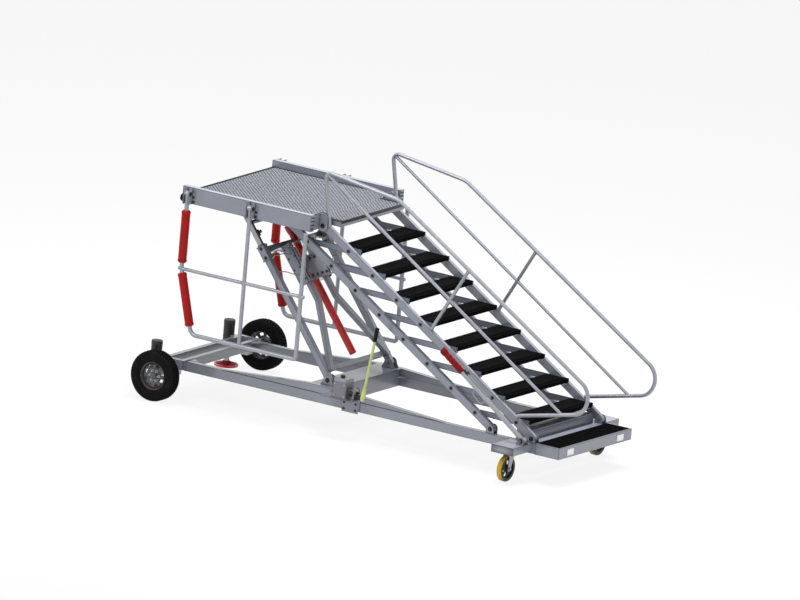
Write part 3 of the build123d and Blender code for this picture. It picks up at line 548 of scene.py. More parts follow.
def foam_finish(colour):
    """Coated foam cover: a fine woven coat, faded and scuffed in patches."""
    made = Finish("foam_cover", Specular_IOR_Level=0.2)
    weave = (made.axis("z") * 2600.0).wave() * ((made.axis("x") + made.axis("y")) * 2600.0).wave()
    cloud = made.noise(7.0, 4.0)
    scuff = made.noise(55.0, 5.0, 0.65).between(0.64, 0.8)
    colours = made.blend(cloud.between(0.3, 0.7), tone(colour, 0.84), tone(colour, 1.08))
    made.set("Base Color", made.blend(scuff * 0.2, colours, tuple(0.1 + 0.7 * c for c in colour)))
    made.set("Roughness", cloud * 0.2 + 0.42)
    made.bump(weave * 0.5 + made.noise(160.0, 3.0) * 0.6, 0.22, 0.0006)
    return made.material


def reflector_finish():
    """Prismatic sheet: small cells under a clear face."""
    made = Finish("reflector", Coat_Weight=0.6)
    cell = made.cells(260.0, feature="DISTANCE_TO_EDGE")
    made.set("Base Color", made.blend(cell.between(0.0, 0.12), (0.7, 0.71, 0.72), (0.95, 0.95, 0.95)))
    made.set("Roughness", cell.between(0.0, 0.3) * -0.2 + 0.4)
    made.bump(cell, 0.3, 0.0006)
    return made.material


# ---- sizes that follow the frame ----
ARM_INNER_FACE = 0.546
PLATE_TOP = high("platform_deck").z

MATERIALS = {}


def make_finishes(sizes):
    MATERIALS.update(
        grey_paint=painted("grey_paint", sizes.paint_colour, 0.4, 0.9, coat=0.9),
        steps=step_finish(sizes.paint_colour),
        zinc=plain_metal("zinc", (0.36, 0.37, 0.39), 0.4),
        tube=plain_metal("tube", sizes.tube_colour, 0.34, (1.0, 1.0, 0.2), 0.6),
        deck_plate=deck_finish(sizes.deck_colour),
        black_grit=grit_finish(),
        reflector=reflector_finish(),
        tyre=rubber("tyre"),
        rim=painted("rim", sizes.rim_colour, 0.4, 0.6, 0.2),
        castor_tread=moulded("castor_tread", sizes.castor_colour, 0.36),
        black_steel=painted("black_steel", (0.006, 0.006, 0.007), 0.45, 0.22),
        # Painted light: the barrel's red is raised far above the jack feet's red of the same paint, to make
        # up for the shade under the deck.
        red_paint=painted("red_paint", sizes.cylinder_red_with_painted_light, 0.3, 0.2, coat=0.2),
        red_foam=foam_finish(sizes.pad_colour),
        lever_red=moulded("lever_red", sizes.grip_colour, 0.5),
        pump_grey=painted("pump_grey", (0.17, 0.16, 0.19), 0.4, 0.4),
        handle_yellow=painted("handle_yellow", sizes.handle_colour, 0.36, 0.3),
        black_grip=moulded("black_grip", (0.006, 0.006, 0.007), 0.5),
        chrome_rod=plain_metal("chrome_rod", (0.75, 0.76, 0.78), 0.12),
        buffer_rubber=rubber("buffer_rubber", (0.008, 0.008, 0.009), 0.6),
    )


# ---- places, in metres, from the wheel axle towards the foot of the stairs ----
AXLE_X = low("platform_frame").x - 0.02
STRINGER_OUTER = 0.6
LINK = 0.47
TREAD_TOP = 0.027
TREAD_REAR = 0.135
TREAD_FRONT = 0.113
TREAD_HALF = 0.544
ARM_EYE = 0.026
PIVOT_EAR_OUTER = 0.616
FOOT = (4.025, 0.404)
PLATFORM_PIN = (1.4947, 1.9724)
GUARD_LINE = 0.835
GUARD_HINGE_Z = 2.04
GUARD_POSTS = {"near": (0.095, 0.808, 1.455), "far": (0.062, 0.8, 1.512)}
GUARD_KNEE_Z = {"near": 1.305, "far": 1.22}
GUARD_LOW_Z = {"near": 0.69, "far": 0.605}
GUARD_SLOPE_RUN = 0.165
GUARD_PAD_TOP = 0.57
GUARD_PAD_LENGTH = 0.51
BEAM_LOW = 1.937
BEAM_TOP = 2.097
BEAM_REAR = 0.02
BEAM_FRONT = 1.4747
BEAM_OUTER = 0.8
BEAM_INNER = 0.74
RAIL_LINE = 0.58
RAIL_OUTER = 0.626
RAIL_TOP = 0.361
STRUT_RISE = Vector((0.376, 0, 0.666))
POST_RISE = Vector((-0.104, 0, 0.566))
LEVER_LINE = -0.74
LEVER_RISE = math.radians(35.0)
PUMP_LINE = -0.716
PUMP_X = 1.938
PUMP_FLOOR = 0.4
TANK_TOP = 0.56
HANDLE_FOOT = (0.23, 0.436)
HANDLE_TOP = (0.311, 1.01)
LEVER_LENGTH = 1.205
LEVER_GRIP = 0.3
JACK_X = -0.24
MAST_FOOT = Vector((1.66, 0.0, 0.485))
MAST_HEAD = Vector((0.55, 0.0, 1.9))
MAST_ALONG = (MAST_HEAD - MAST_FOOT).normalized()
MAST_OUT = Vector((MAST_ALONG.z, 0.0, -MAST_ALONG.x))
MAST_TURN = Matrix((MAST_ALONG, (0, 1, 0), MAST_OUT)).transposed().to_4x4()
MAST_LEG = 0.525
CYLINDER_OUT = 0.02
BLOCK_HALF = 0.19


def at(x, y, z):
    """A point measured from the wheel axle along X."""
    return Vector((AXLE_X + x, y, z))


def on_mast(t, y, n):
    """A point t up the mast, y across and n out from its legs, towards the stairs."""
    return Vector((AXLE_X, y, 0)) + MAST_FOOT + MAST_ALONG * t + MAST_OUT * n


def mast_box(name, place, reach, bevel):
    """A block square to the mast round a place, from its half sizes along, across and out."""
    piece = box_piece(name, -Vector(reach), Vector(reach), bevel)
    piece.data.transform(Matrix.Translation(place) @ MAST_TURN)
    return piece


def step_pin(index):
    node = f"step_{index}"
    return low(node).x + LINK + ARM_EYE, high(node).z - TREAD_TOP


# ---- wheels ----
TYRE_PROFILE = (
    (0.056, 0.1375), (0.064, 0.144), (0.07, 0.153), (0.0745, 0.162), (0.0765, 0.165), (0.0765, 0.169),
    (0.0752, 0.171), (0.0765, 0.186), (0.0775, 0.196), (0.0762, 0.197), (0.0752, 0.208), (0.0764, 0.209),
    (0.075, 0.215), (0.07, 0.229), (0.064, 0.239), (0.056, 0.2436), (0.035, 0.245), (0.034, 0.237),
    (0.027, 0.237), (0.026, 0.245), (0.004, 0.245), (0.003, 0.237),
)
TYRE_HALF = 0.0775
TYRE_STEPS = 96
GROOVE_DEPTH = 0.0055
GROOVE_LAND = 0.2365
WHEEL_NUTS = 6
NUT_CIRCLE = 0.047
CASTOR_TRAIL = 0.04


def tyre_piece(side):
    sign = SIDES[side]
    hub = middle(f"tyre_{side}")
    half = (high(f"tyre_{side}").y - low(f"tyre_{side}").y) / 2
    shape = [(t * half / TYRE_HALF, r) for t, r in TYRE_PROFILE]
    profile = shape + [(-t, r) for t, r in reversed(shape)]
    obj = turned(f"tread_tyre_{side}", profile + profile[:1], hub, (0, sign, 0), TYRE_STEPS)
    step = 2 * math.pi / TYRE_STEPS

    def cut(centre, first, last, skew):
        """Every second face of a band round the tread is a groove, turned a little from band to band."""
        across = abs(centre.y - hub.y)
        angle = math.atan2(centre.z - hub.z, centre.x - hub.x)
        return first < across < last and int(math.floor(angle / step + skew)) % 2 == 0

    with Edit(obj) as edit:
        for first, last, skew in ((0.032, 0.0628, 0.0), (0.004, 0.0227, 1.0)):
            edit.faces(lambda centre, normal: cut(centre, first, last, skew)
                       and math.hypot(centre.x - hub.x, centre.z - hub.z) > GROOVE_LAND)
            bpy.ops.mesh.inset(thickness=0.0011, use_individual=first < 0.01)
            bpy.ops.transform.shrink_fatten(value=-GROOVE_DEPTH)
    return set_down(obj, f"wheel_{side}", "tyre", replaces=(f"tyre_{side}",))


def pierced_disc(name, profile, centre, axis, steps, hole_test, wall, ease):
    """A spun plate with openings where hole_test(angle, radius) is true, then given its wall."""
    obj = turned(name, profile, centre, axis, steps)
    along = Vector(axis).normalized()
    side = along.orthogonal().normalized()
    other = along.cross(side)
    with Edit(obj) as edit:
        def hole(point, normal):
            arm = point - Vector(centre)
            angle = math.atan2(arm.dot(other), arm.dot(side))
            flat = arm - along * arm.dot(along)
            return hole_test(angle, flat.length)
        edit.faces(hole)
        bpy.ops.mesh.delete(type="FACE")
    take(obj)
    thick = obj.modifiers.new("wall", "SOLIDIFY")
    thick.thickness = wall
    thick.offset = 0.0
    thick.use_even_offset = True
    bpy.ops.object.modifier_apply(modifier=thick.name)
    soft = obj.modifiers.new("ease", "BEVEL")
    soft.width = ease
    soft.segments = 2
    soft.angle_limit = math.radians(40)
    bpy.ops.object.modifier_apply(modifier=soft.name)
    return obj


def spokes(count, share, inner, outer):
    """Openings between spokes: true in the middle share of each sector, between two radii."""
    def test(angle, radius):
        place = (angle / (2 * math.pi) * count) % 1.0
        return inner < radius < outer and abs(place - 0.5) < share / 2
    return test


def rim_piece(side):
    sign = SIDES[side]
    hub = middle(f"tyre_{side}")
    axis = (0, sign, 0)
    wall = [(0.045, 0.1372), (0.0465, 0.135), (0.044, 0.1295), (0.037, 0.1265), (0.025, 0.1225)]
    back = [(0.025, 0.1262), (0.04, 0.132), (0.042, 0.1372)]
    section = wall + [(-t, r) for t, r in reversed(wall)] + [(-t, r) for t, r in reversed(back)] + back
    barrel = turned("rim_barrel", section + section[:1], hub, axis, 72)
    face = [(0.008, 0.1215), (0.012, 0.118), (0.022, 0.112), (0.0265, 0.104), (0.027, 0.094),
            (0.0245, 0.084), (0.018, 0.074), (0.012, 0.066), (0.0105, 0.058), (0.0105, 0.03)]
    disc = pierced_disc("rim_disc", face, hub, axis, 96, spokes(8, 0.42, 0.079, 0.108), 0.0045, 0.0014)
    cap = turned("rim_cap", [(0.008, 0.033), (0.033, 0.033), (0.037, 0.03), (0.0385, 0.024),
                             (0.0385, 0.0)], hub, axis, 32)
    inner = turned("rim_hub", [(0.0085, 0.0225), (0.0085, 0.042), (-0.023, 0.042), (-0.023, 0.0225),
                               (0.0085, 0.0225)], hub, axis, 32)
    valve = turned("rim_valve", [(0.02, 0.0035), (0.046, 0.0035), (0.046, 0.0048), (0.054, 0.0048),
                                 (0.0545, 0.0)], hub + Vector((0.118, 0, 0)), axis, 12)
    fitted(f"disc_wheel_{side}", [barrel, disc, cap, inner, valve], f"wheel_{side}", "rim",
           replaces=(f"rim_{side}",))
    turns = [2 * math.pi * k / WHEEL_NUTS for k in range(WHEEL_NUTS)]
    seats = [hub + Vector((NUT_CIRCLE * math.cos(a), sign * 0.0125, NUT_CIRCLE * math.sin(a))) for a in turns]
    bolts(f"wheel_nuts_{side}", 0.019, 0.015, [(seat, axis) for seat in seats], f"wheel_{side}", "zinc")


def castor_piece(side):
    hub = middle(f"castor_wheel_{side}")
    axis = (1, 0, 0)
    body = f"castor_wheel_{side}"
    tread = turned(f"castor_tread_{side}", [
        (0.0255, 0.118), (0.0245, 0.1222), (0.0215, 0.1243), (0.016, 0.125), (-0.016, 0.125),
        (-0.0215, 0.1243), (-0.0245, 0.1222), (-0.0255, 0.118), (0.0255, 0.118)], hub, axis, 64)
    set_down(tread, body, "castor_tread", replaces=(body,))
    ring = turned("castor_ring", [
        (0.0262, 0.1185), (0.0275, 0.115), (0.0275, 0.0975), (0.0262, 0.096), (0.0285, 0.093),
        (0.0265, 0.089), (0.01, 0.085), (-0.01, 0.085), (-0.0265, 0.089), (-0.0285, 0.093),
        (-0.0262, 0.096), (-0.0275, 0.0975), (-0.0275, 0.115), (-0.0262, 0.1185), (0.0262, 0.1185)],
        hub, axis, 64)
    web = pierced_disc("castor_web", [(0.006, 0.0855), (0.002, 0.078), (0.004, 0.04), (0.012, 0.027)],
                       hub, axis, 72, spokes(6, 0.56, 0.042, 0.08), 0.009, 0.0018)
    boss = turned("castor_boss", [
        (0.0295, 0.0105), (0.0295, 0.024), (0.027, 0.028), (-0.027, 0.028), (-0.0295, 0.024),
        (-0.0295, 0.0105), (0.0295, 0.0105)], hub, axis, 40)
    fitted(f"castor_hub_{side}", [ring, web, boss], body, "black_steel")
    bolts(f"castor_axle_nuts_{side}", 0.028, 0.012,
          [(hub + Vector((s * 0.0385, 0, 0)), (s, 0, 0)) for s in (-1, 1)], f"castor_fork_{side}", "zinc")
    swivel_y = hub.y + CASTOR_TRAIL
    crown = Vector((hub.x, swivel_y, high(f"castor_fork_{side}").z))
    seal = turned(f"castor_seal_{side}", [
        (-0.016, 0.0425), (-0.012, 0.047), (-0.005, 0.047), (-0.001, 0.043), (-0.001, 0.038),
        (-0.016, 0.038), (-0.016, 0.0425)], crown, (0, 0, 1), 40)
    set_down(seal, f"castor_fork_{side}", "zinc")
    plate_z = low("castor_plates").z + 0.008
    corners = [Vector((hub.x + i * 0.055, swivel_y + j * 0.055, plate_z - 0.0003))
               for i in (-1, 1) for j in (-1, 1)]
    bolts(f"castor_plate_bolts_{side}", 0.017, 0.008, [(p, (0, 0, -1)) for p in corners], "chassis", "zinc")


# ---- steps and pivots ----
RIB_PITCH = 0.0062


def step_pieces(index, rib_count):
    body = f"step_{index}"
    x, z = step_pin(index)
    top = z + TREAD_TOP
    front = x + TREAD_FRONT
    cover = box_piece("tread_cover", (x - TREAD_REAR + 0.002, -TREAD_HALF, top - 0.0004),
                      (front - 0.002, TREAD_HALF, top + 0.0014), 0.0007, 1)
    nose = box_piece("tread_nose", (front - 0.0006, -TREAD_HALF, top - 0.036),
                     (front + 0.0014, TREAD_HALF, top - 0.0004), 0.0006, 1)
    ribs = []
    for k in range(rib_count):
        rib_x = front - 0.012 - k * RIB_PITCH
        ribs.append(box_piece("tread_rib", (rib_x - 0.0014, -TREAD_HALF + 0.003, top + 0.001),
                              (rib_x + 0.0014, TREAD_HALF - 0.003, top + 0.003), 0.0006, 1))
    fitted(f"tread_cover_{index}", [cover, nose, *ribs], body, "black_grit")
    pins = [(Vector((px, s * (STRINGER_OUTER + 0.0074), z)), (0, s, 0))
            for px in (x, x - LINK) for s in (-1, 1)]
    bolts(f"step_bolts_{index}", 0.019, 0.008, pins, body)
    clips = [box_piece("step_clip", (x + 0.062, s * 0.52 - 0.02, top - 0.062),
                       (x + 0.094, s * 0.52 + 0.02, top - 0.036), 0.003) for s in (-1, 1)]
    fitted(f"step_clips_{index}", clips, body, "zinc")


def pivot_bolts():
    """Bolt heads on the pins at the foot, at the platform and at the mast."""
    feet = [(at(x, s * PIVOT_EAR_OUTER, FOOT[1]), (0, s, 0))
            for x in (FOOT[0], FOOT[0] - LINK) for s in (-1, 1)]
    feet += [(at(MAST_FOOT.x, s * (MAST_LEG + 0.041), MAST_FOOT.z), (0, s, 0)) for s in (-1, 1)]
    bolts("foot_pivot_bolts", 0.028, 0.01, feet, "chassis")
    tops = [(at(x, s * PIVOT_EAR_OUTER, PLATFORM_PIN[1]), (0, s, 0))
            for x in (PLATFORM_PIN[0], PLATFORM_PIN[0] - LINK) for s in (-1, 1)]
    tops += [(at(MAST_HEAD.x, s * (MAST_LEG + e * 0.034), MAST_HEAD.z), (0, e * s, 0))
             for e in (1, -1) for s in (-1, 1)]
    bolts("head_pivot_bolts", 0.028, 0.01, tops, "platform")


# ---- platform ----
LUG = (0.033, 0.0095, 0.0034)
DECK_HALF = 0.739
NOSE_HALF = 0.539
NOSE_CORNER = 0.6185


def deck_lug(turn):
    """One raised bar of the plate, drawn in towards its top."""
    bpy.ops.mesh.primitive_cube_add(size=1.0, location=(0, 0, 0), scale=LUG)
    obj = named(bpy.context.object, "deck_lug")
    take(obj)
    bpy.ops.object.transform_apply(location=True, rotation=True, scale=True)
    with Edit(obj) as edit:
        edit.faces(lambda centre, normal: normal.z < -0.9)
        bpy.ops.mesh.delete(type="FACE")
        edit.faces(lambda centre, normal: normal.z > 0.9)
        bpy.ops.transform.resize(value=(0.62, 0.42, 1.0))
    obj.data.transform(Matrix.Rotation(math.radians(turn), 4, "Z"))
    return obj


def lug_field(turn, first, counts, pitch):
    """Rows and columns of like lugs, from the first one's place."""
    obj = deck_lug(turn)
    obj.data.transform(Matrix.Translation(first))
    take(obj)
    for axis, count in enumerate(counts):
        row = obj.modifiers.new("row", "ARRAY")
        row.use_relative_offset = False
        row.use_constant_offset = True
        row.constant_offset_displace = [pitch if axis == k else 0.0 for k in range(3)]
        row.count = count
        bpy.ops.object.modifier_apply(modifier=row.name)
    return obj


def deck_lugs(pitch):
    """The raised pattern of the deck plate: short bars set crosswise in turn."""
    x0, x1 = low("platform_deck").x + 0.02, high("platform_deck").x
    main_front = AXLE_X + PLATFORM_PIN[0] - 0.075
    height = PLATE_TOP + LUG[2] * 0.4
    seam = x0 + int((main_front - x0) / pitch) * pitch
    made = []
    for start, end, half in ((x0, seam + 0.001, 0.72), (seam, x1 - 0.008, 0.52)):
        along = int((end - start) / pitch)
        across = int(2 * half / pitch)
        side = -across * pitch / 2 + 0.006
        for column in (0, 1):
            for row in (0, 1):
                first = Vector((start + pitch / 2 * (1 + column), side + pitch / 2 * row, height))
                made.append(lug_field(45.0 if row == column else -45.0, first, (along, across), pitch))
    fitted("deck_pattern", made, "platform", "deck_plate", smooth=0)


def deck_shade_strips():
    """Dark strips of painted shade along the deck's rear edge, its nose and the two corners beside the nose.
    """
    x0, x1 = low("platform_deck").x, high("platform_deck").x
    front = PLATFORM_PIN[0] - 0.062
    # Painted shade: black strips laid where the deck's edges show only a dark edge line.
    strips = [
        box_piece("strip_rear", (x0 - 0.004, -DECK_HALF, PLATE_TOP - 0.004),
                  (x0 + 0.01, DECK_HALF, PLATE_TOP + 0.0045), 0.0015),
        box_piece("strip_nose", (x1 - 0.01, -NOSE_HALF, PLATE_TOP - 0.026),
                  (x1 + 0.003, NOSE_HALF, PLATE_TOP + 0.003), 0.0015),
    ]
    strips += [side_box("strip_front", s, (front - 0.01, front + 0.003), (NOSE_CORNER, DECK_HALF),
                        (PLATE_TOP - 0.004, PLATE_TOP + 0.003), 0.0015) for s in (-1, 1)]
    fitted("deck_edge_shade_strips", strips, "platform", "black_steel")


def guard_hinges():
    """Pin bolts, feet and foot bolts of the guards' four hinges."""
    hinges = [(x, SIDES[side]) for side in SIDES for x in GUARD_POSTS[side][:2]]
    pins = [(at(x + e * 0.0325, s * GUARD_LINE, GUARD_HINGE_Z), (e, 0, 0))
            for x, s in hinges for e in (-1, 1)]
    bolts("guard_hinge_bolts", 0.024, 0.008, pins, "platform")
    feet, seats = [], []
    for x, s in hinges:
        for e in (-1, 1):
            seats += [(at(x + e * 0.05, s * (BEAM_OUTER + 0.0049), z), (0, s, 0)) for z in (1.96, 2.005)]
            feet.append(side_box("hinge_foot", s, sorted((x + e * 0.032, x + e * 0.068)),
                                 (BEAM_OUTER, BEAM_OUTER + 0.005), (1.945, 2.06), 0.0015))
    fitted("guard_hinge_feet", feet, "platform", "grey_paint")
    bolts("guard_foot_bolts", 0.015, 0.006, seats, "platform")


def beam_ends():
    """End plates and lips of the side beams, and black patches of painted shade for the slots of their front
    ends.
    """
    made, slots = [], []
    ends = (BEAM_LOW - 0.001, BEAM_TOP + 0.001)
    plate = (BEAM_INNER - 0.0015, BEAM_OUTER + 0.0015)
    for s in (-1, 1):
        made.append(side_box("beam_cap", s, (BEAM_FRONT - 0.0017, BEAM_FRONT + 0.0043), plate, ends))
        made.append(side_box("beam_cap", s, (BEAM_REAR - 0.004, BEAM_REAR + 0.002), plate, ends))
        made.append(side_box("beam_lip", s, (0.018, 1.478), (BEAM_INNER + 0.0005, BEAM_OUTER - 0.0015),
                             (BEAM_TOP - 0.0005, BEAM_TOP + 0.0012), 0.0006, 1))
        # Painted shade: the slots are black patches on the end plates, not openings.
        slots += [side_box("beam_slot", s, (BEAM_FRONT + 0.0037, BEAM_FRONT + 0.0049), (0.747, 0.793),
                           (z - 0.008, z + 0.008), 0.0003, 1) for z in (1.962, 2.0, 2.038, 2.072)]
    fitted("beam_ends", made, "platform", "grey_paint")
    fitted("beam_slot_shades", slots, "platform", "black_steel")


def platform_gussets():
    corners = ((0.08, 1), (0.4, -1), (0.965, -1), (1.425, -1))
    fitted("platform_gussets", [gusset(s, x, turn, 0.7, 1.986, 0.08, 0.074)
                                for s in (-1, 1) for x, turn in corners], "platform", "grey_paint")


def buffer_rings():
    ring = [(0.025, 0.0352), (0.023, 0.0375), (0.012, 0.0375), (0.008, 0.0352), (0.025, 0.0352)]
    face = [(0.0005, 0.0), (-0.0008, 0.012), (0.0, 0.02), (0.001, 0.021), (0.0, 0.0222),
            (-0.0005, 0.03), (0.0015, 0.0345), (0.006, 0.0352), (0.006, 0.0)]
    made = [turned("buffer", shape, at(-0.006, s * 0.77, BEAM_LOW + 0.038), (1, 0, 0), 40)
            for s in (-1, 1) for shape in (ring, face)]
    fitted("buffer_rings", made, "platform", "buffer_rubber")


def platform_trim():
    deck_shade_strips()
    guard_hinges()
    beam_ends()
    platform_gussets()
    buffer_rings()


# ---- guards ----
PAD_BORE = 0.0216
PAD_RINGS = 26
CLOTH_FRAMES = 12


def sleeve(name, start, end, radius, inner, puff):
    """A foam sleeve: a round pad swelled between its two sewn ends."""
    a, b = Vector(start), Vector(end)
    length = (b - a).length
    profile = [(0.0, inner), (0.0, radius - 0.009), (0.004, radius - 0.003), (0.012, radius)]
    profile += [(0.012 + (length - 0.024) * k / PAD_RINGS, radius) for k in range(1, PAD_RINGS)]
    profile += [(length - 0.012, radius), (length - 0.004, radius - 0.003), (length, radius - 0.009),
                (length, inner), (0.0, inner)]
    pad = turned(name, profile, a, b - a, 40)
    swell(pad, a, (b - a).normalized(), radius, puff)
    return pad


def swell(pad, start, along, radius, puff):
    """Pressure puffs the cover by a few millimetres, and the result is applied."""
    rest = [v.co.copy() for v in pad.data.vertices]
    held = pad.vertex_groups.new(name="held")
    for v in pad.data.vertices:
        arm = v.co - start
        reach = (arm - along * arm.dot(along)).length
        if reach < radius - 0.006:
            held.add([v.index], 1.0, "REPLACE")
    cloth = pad.modifiers.new("cover", "CLOTH")
    settings = cloth.settings
    settings.use_pressure = True
    settings.uniform_pressure_force = 4.0
    settings.tension_stiffness = 12.0
    settings.shear_stiffness = 8.0
    settings.bending_stiffness = 0.4
    settings.vertex_group_mass = held.name
    settings.effector_weights.gravity = 0.0
    cloth.collision_settings.use_collision = False
    scene = bpy.context.scene
    for number in range(1, CLOTH_FRAMES + 1):
        scene.frame_set(number)
    take(pad)
    bpy.ops.object.modifier_apply(modifier=cloth.name)
    scene.frame_set(1)
    for v, was in zip(pad.data.vertices, rest):
        move = v.co - was
        if move.length > puff:
            v.co = was + move.normalized() * puff


def guard_pads(side, radius, puff):
    s = SIDES[side]
    knee = GUARD_KNEE_Z[side]
    bend = at(GUARD_POSTS[side][0], s * GUARD_LINE, knee)
    slope = Vector((GUARD_SLOPE_RUN, 0, GUARD_LOW_Z[side] - knee)).normalized()
    top = bend + Vector((0, 0, GUARD_PAD_TOP))
    runs = [(top, top - Vector((0, 0, GUARD_PAD_LENGTH))),
            (bend + slope * 0.04, bend + slope * (GUARD_PAD_LENGTH + 0.045))]
    band = [(-0.006, 0.0425), (-0.005, 0.0447), (0.005, 0.0447), (0.006, 0.0425), (-0.006, 0.0425)]
    made, bands = [], []
    for number, (start, end) in enumerate(runs):
        made.append(sleeve(f"foam_sleeve_{side}_{number}", start, end, radius, PAD_BORE, puff))
        along = (end - start).normalized()
        bands += [turned("band", band, start + along * place, along, 40)
                  for place in (0.02, (end - start).length - 0.02)]
    pads = fitted(f"foam_sleeves_{side}", made, f"guard_{side}", "red_foam",
                  replaces=(f"guard_pads_{side}",), smooth=50.0)
    fitted(f"sleeve_bands_{side}", bands, f"guard_{side}", "red_foam", smooth=50.0)


def weld_ring(name, centre, axis, radius, size=0.004, steps=28):
    """A rounded fillet of weld round a tube."""
    points = [(size * math.cos(k * math.pi / 3), radius + size * math.sin(k * math.pi / 3)) for k in range(6)]
    return turned(name, [*points, points[0]], centre, axis, steps)


def guard_welds(side):
    y = SIDES[side] * GUARD_LINE
    rear, mid, front = GUARD_POSTS[side]
    knee = GUARD_KNEE_Z[side]
    rings = [
        weld_ring("weld", at(mid, y, GUARD_LOW_Z[side] + 0.0205), (0, 0, 1), 0.0185),
        weld_ring("weld", at(mid - 0.0185, y, knee), (1, 0, 0), 0.0165),
        weld_ring("weld", at(mid + 0.0185, y, knee), (1, 0, 0), 0.0165),
        weld_ring("weld", at(front - 0.0205, y, knee), (1, 0, 0), 0.0165),
    ]
    for x, e in ((rear - 0.03, -1), (front + 0.034, 1)):
        rings.append(turned("plug", [(-0.004, 0.017), (0.0, 0.0176), (0.0024, 0.0165), (0.0036, 0.011),
                                     (0.0036, 0.0)], at(x, y, knee), (e, 0, 0), 28))
    rings.append(turned("plug", [(-0.006, 0.0212), (0.0, 0.0218), (0.0028, 0.02), (0.004, 0.013),
                                 (0.004, 0.0)], at(front, y, 1.923), (0, 0, 1), 28))
    fitted(f"guard_welds_{side}", rings, f"guard_{side}", "tube", smooth=60.0)


# ---- handrails and stringers ----
def stair_fittings():
    """Weld fillets of the handrails, and the bushes of the stringers' pins."""
    made = []
    for s in (-1, 1):
        y = s * RAIL_LINE
        made += [weld_ring("weld", at(x, y, z), STRUT_RISE, 0.017)
                 for x, z in ((2.79, 1.229), (3.14, 1.848), (2.905, 1.4325))]
        made.append(weld_ring("weld", at(1.552, y, 1.978), POST_RISE, 0.019))
    fitted("handrail_welds", made, "upper_stringers", "tube", smooth=60.0)
    for body, back in (("upper_stringers", 0.0), ("lower_stringers", LINK)):
        ring = turned("bush", [(0.0, 0.0108), (0.0, 0.0165), (0.0006, 0.0165), (0.0006, 0.0108),
                               (0.0, 0.0108)], (0, 0, 0), (0, 0, 1), 24)
        pins = [step_pin(index) for index in range(1, STEP_COUNT + 1)]
        seats = [(Vector((x - back, s * (STRINGER_OUTER - 0.0004), z)), (0, s, 0))
                 for x, z in pins for s in (-1, 1)]
        set_down(copies(f"{body}_bushes", ring, seats), body, "zinc")


# ---- mast and cylinder ----
def mast_bolts():
    seats = [(on_mast(t, s * (BLOCK_HALF + 0.0002), n), (0, s, 0))
             for s in (-1, 1) for t in (1.0, 1.12, 1.24, 1.335) for n in (-0.012, 0.06)]
    seats += [(on_mast(t, s * (MAST_LEG + 0.0332), 0.0), (0, s, 0)) for s in (-1, 1) for t in (1.312, 1.408)]
    bolts("mast_bolts", 0.019, 0.008, seats, "mast_lower")


def head_block():
    """Side flanges, cover, rims, bolts and lock wedge of the block that holds the cylinder."""
    plates = [mast_box("cheek_flange", on_mast(1.165, s * (BLOCK_HALF + 0.006), 0.026),
                       (0.215, 0.004, 0.048), 0.0025) for s in (-1, 1)]
    plates.append(mast_box("block_cover", on_mast(1.084, 0, 0.0955), (0.118, 0.15, 0.004), 0.0025))
    plates += [mast_box("block_rim", on_mast(t, 0, 0.104), (0.0065, BLOCK_HALF, 0.012), 0.002)
               for t in (0.969, 1.196, 1.3625)]
    fitted("head_block_flanges", plates, "mast_lower", "grey_paint")
    seats = [(on_mast(t, y, 0.0996), MAST_OUT)
             for t in (1.0, 1.168) for y in (-0.12, -0.04, 0.04, 0.12)]
    bolts("block_cover_bolts", 0.017, 0.007, seats, "mast_lower")
    wedge = box_piece("wedge", (-0.05, -0.026, -0.02), (0.05, 0.026, 0.02), 0.006)
    with Edit(wedge) as edit:
        edit.faces(lambda centre, normal: normal.x < -0.9)
        bpy.ops.transform.resize(value=(1.0, 0.8, 0.45))
    wedge.data.transform(Matrix.Translation(on_mast(1.25, 0.12, 0.1)) @ MAST_TURN)
    knob = turned("knob", [(0.0, 0.01), (0.02, 0.01), (0.022, 0.021), (0.04, 0.023), (0.047, 0.016),
                           (0.048, 0.0)], on_mast(1.262, 0.12, 0.116), MAST_OUT, 24)
    fitted("lock_wedge", [wedge, knob], "mast_lower", "black_steel")


def lock_pins():
    """Lock pins on the legs, with the rods and loops that pull them."""
    pin = [(0.0, 0.009), (0.06, 0.009), (0.066, 0.013), (0.078, 0.013), (0.08, 0.01), (0.08, 0.0)]
    routes = (
        (0.04, ((1.312, 0.415, 0.0), (1.3, 0.3, 0.02), (1.27, 0.196, 0.04))),
        (0.04, ((1.362, 0.415, 0.0), (1.362, 0.3, 0.06), (1.33, 0.196, 0.08))),
        (0.045, ((1.15, 0.489, 0.01), (1.12, 0.4, 0.03), (1.06, 0.3, 0.05), (1.05, 0.196, 0.05))),
    )
    made = []
    for s in (-1, 1):
        made += [turned("lock_pin", pin, on_mast(t, s * 0.492, 0.0), (0, -s, 0), 20) for t in (1.312, 1.362)]
        made += [tube_piece("pull_rod", [on_mast(t, s * y, n) for t, y, n in route], 0.01, corner)
                 for corner, route in routes]
    fitted("lock_pin_rods", made, "mast_lower", "zinc", smooth=50.0)


def mast_collars():
    legs = [s * MAST_LEG for s in (-1, 1)]
    lips = [mast_box("collar_lip", on_mast(t, y, 0), (0.006, 0.0375, 0.0435), 0.002)
            for y in legs for t in (1.288, 1.432)]
    fitted("collar_lips", lips, "mast_lower", "grey_paint")
    wipers = [mast_box("wiper", on_mast(1.4425, y, 0), (0.005, 0.0245, 0.0305), 0.0015) for y in legs]
    fitted("collar_wipers", wipers, "mast_lower", "black_grip")


def height_latch():
    latch = mast_box("latch", on_mast(1.56, -MAST_LEG, 0.034), (0.032, 0.016, 0.01), 0.004)
    knob = turned("latch_knob", [(0.0, 0.008), (0.012, 0.008), (0.014, 0.015), (0.026, 0.016), (0.031, 0.01),
                                 (0.032, 0.0)], on_mast(1.56, -MAST_LEG, 0.042), MAST_OUT, 24)
    fitted("height_latch", [latch, knob], "mast_upper", "black_steel")


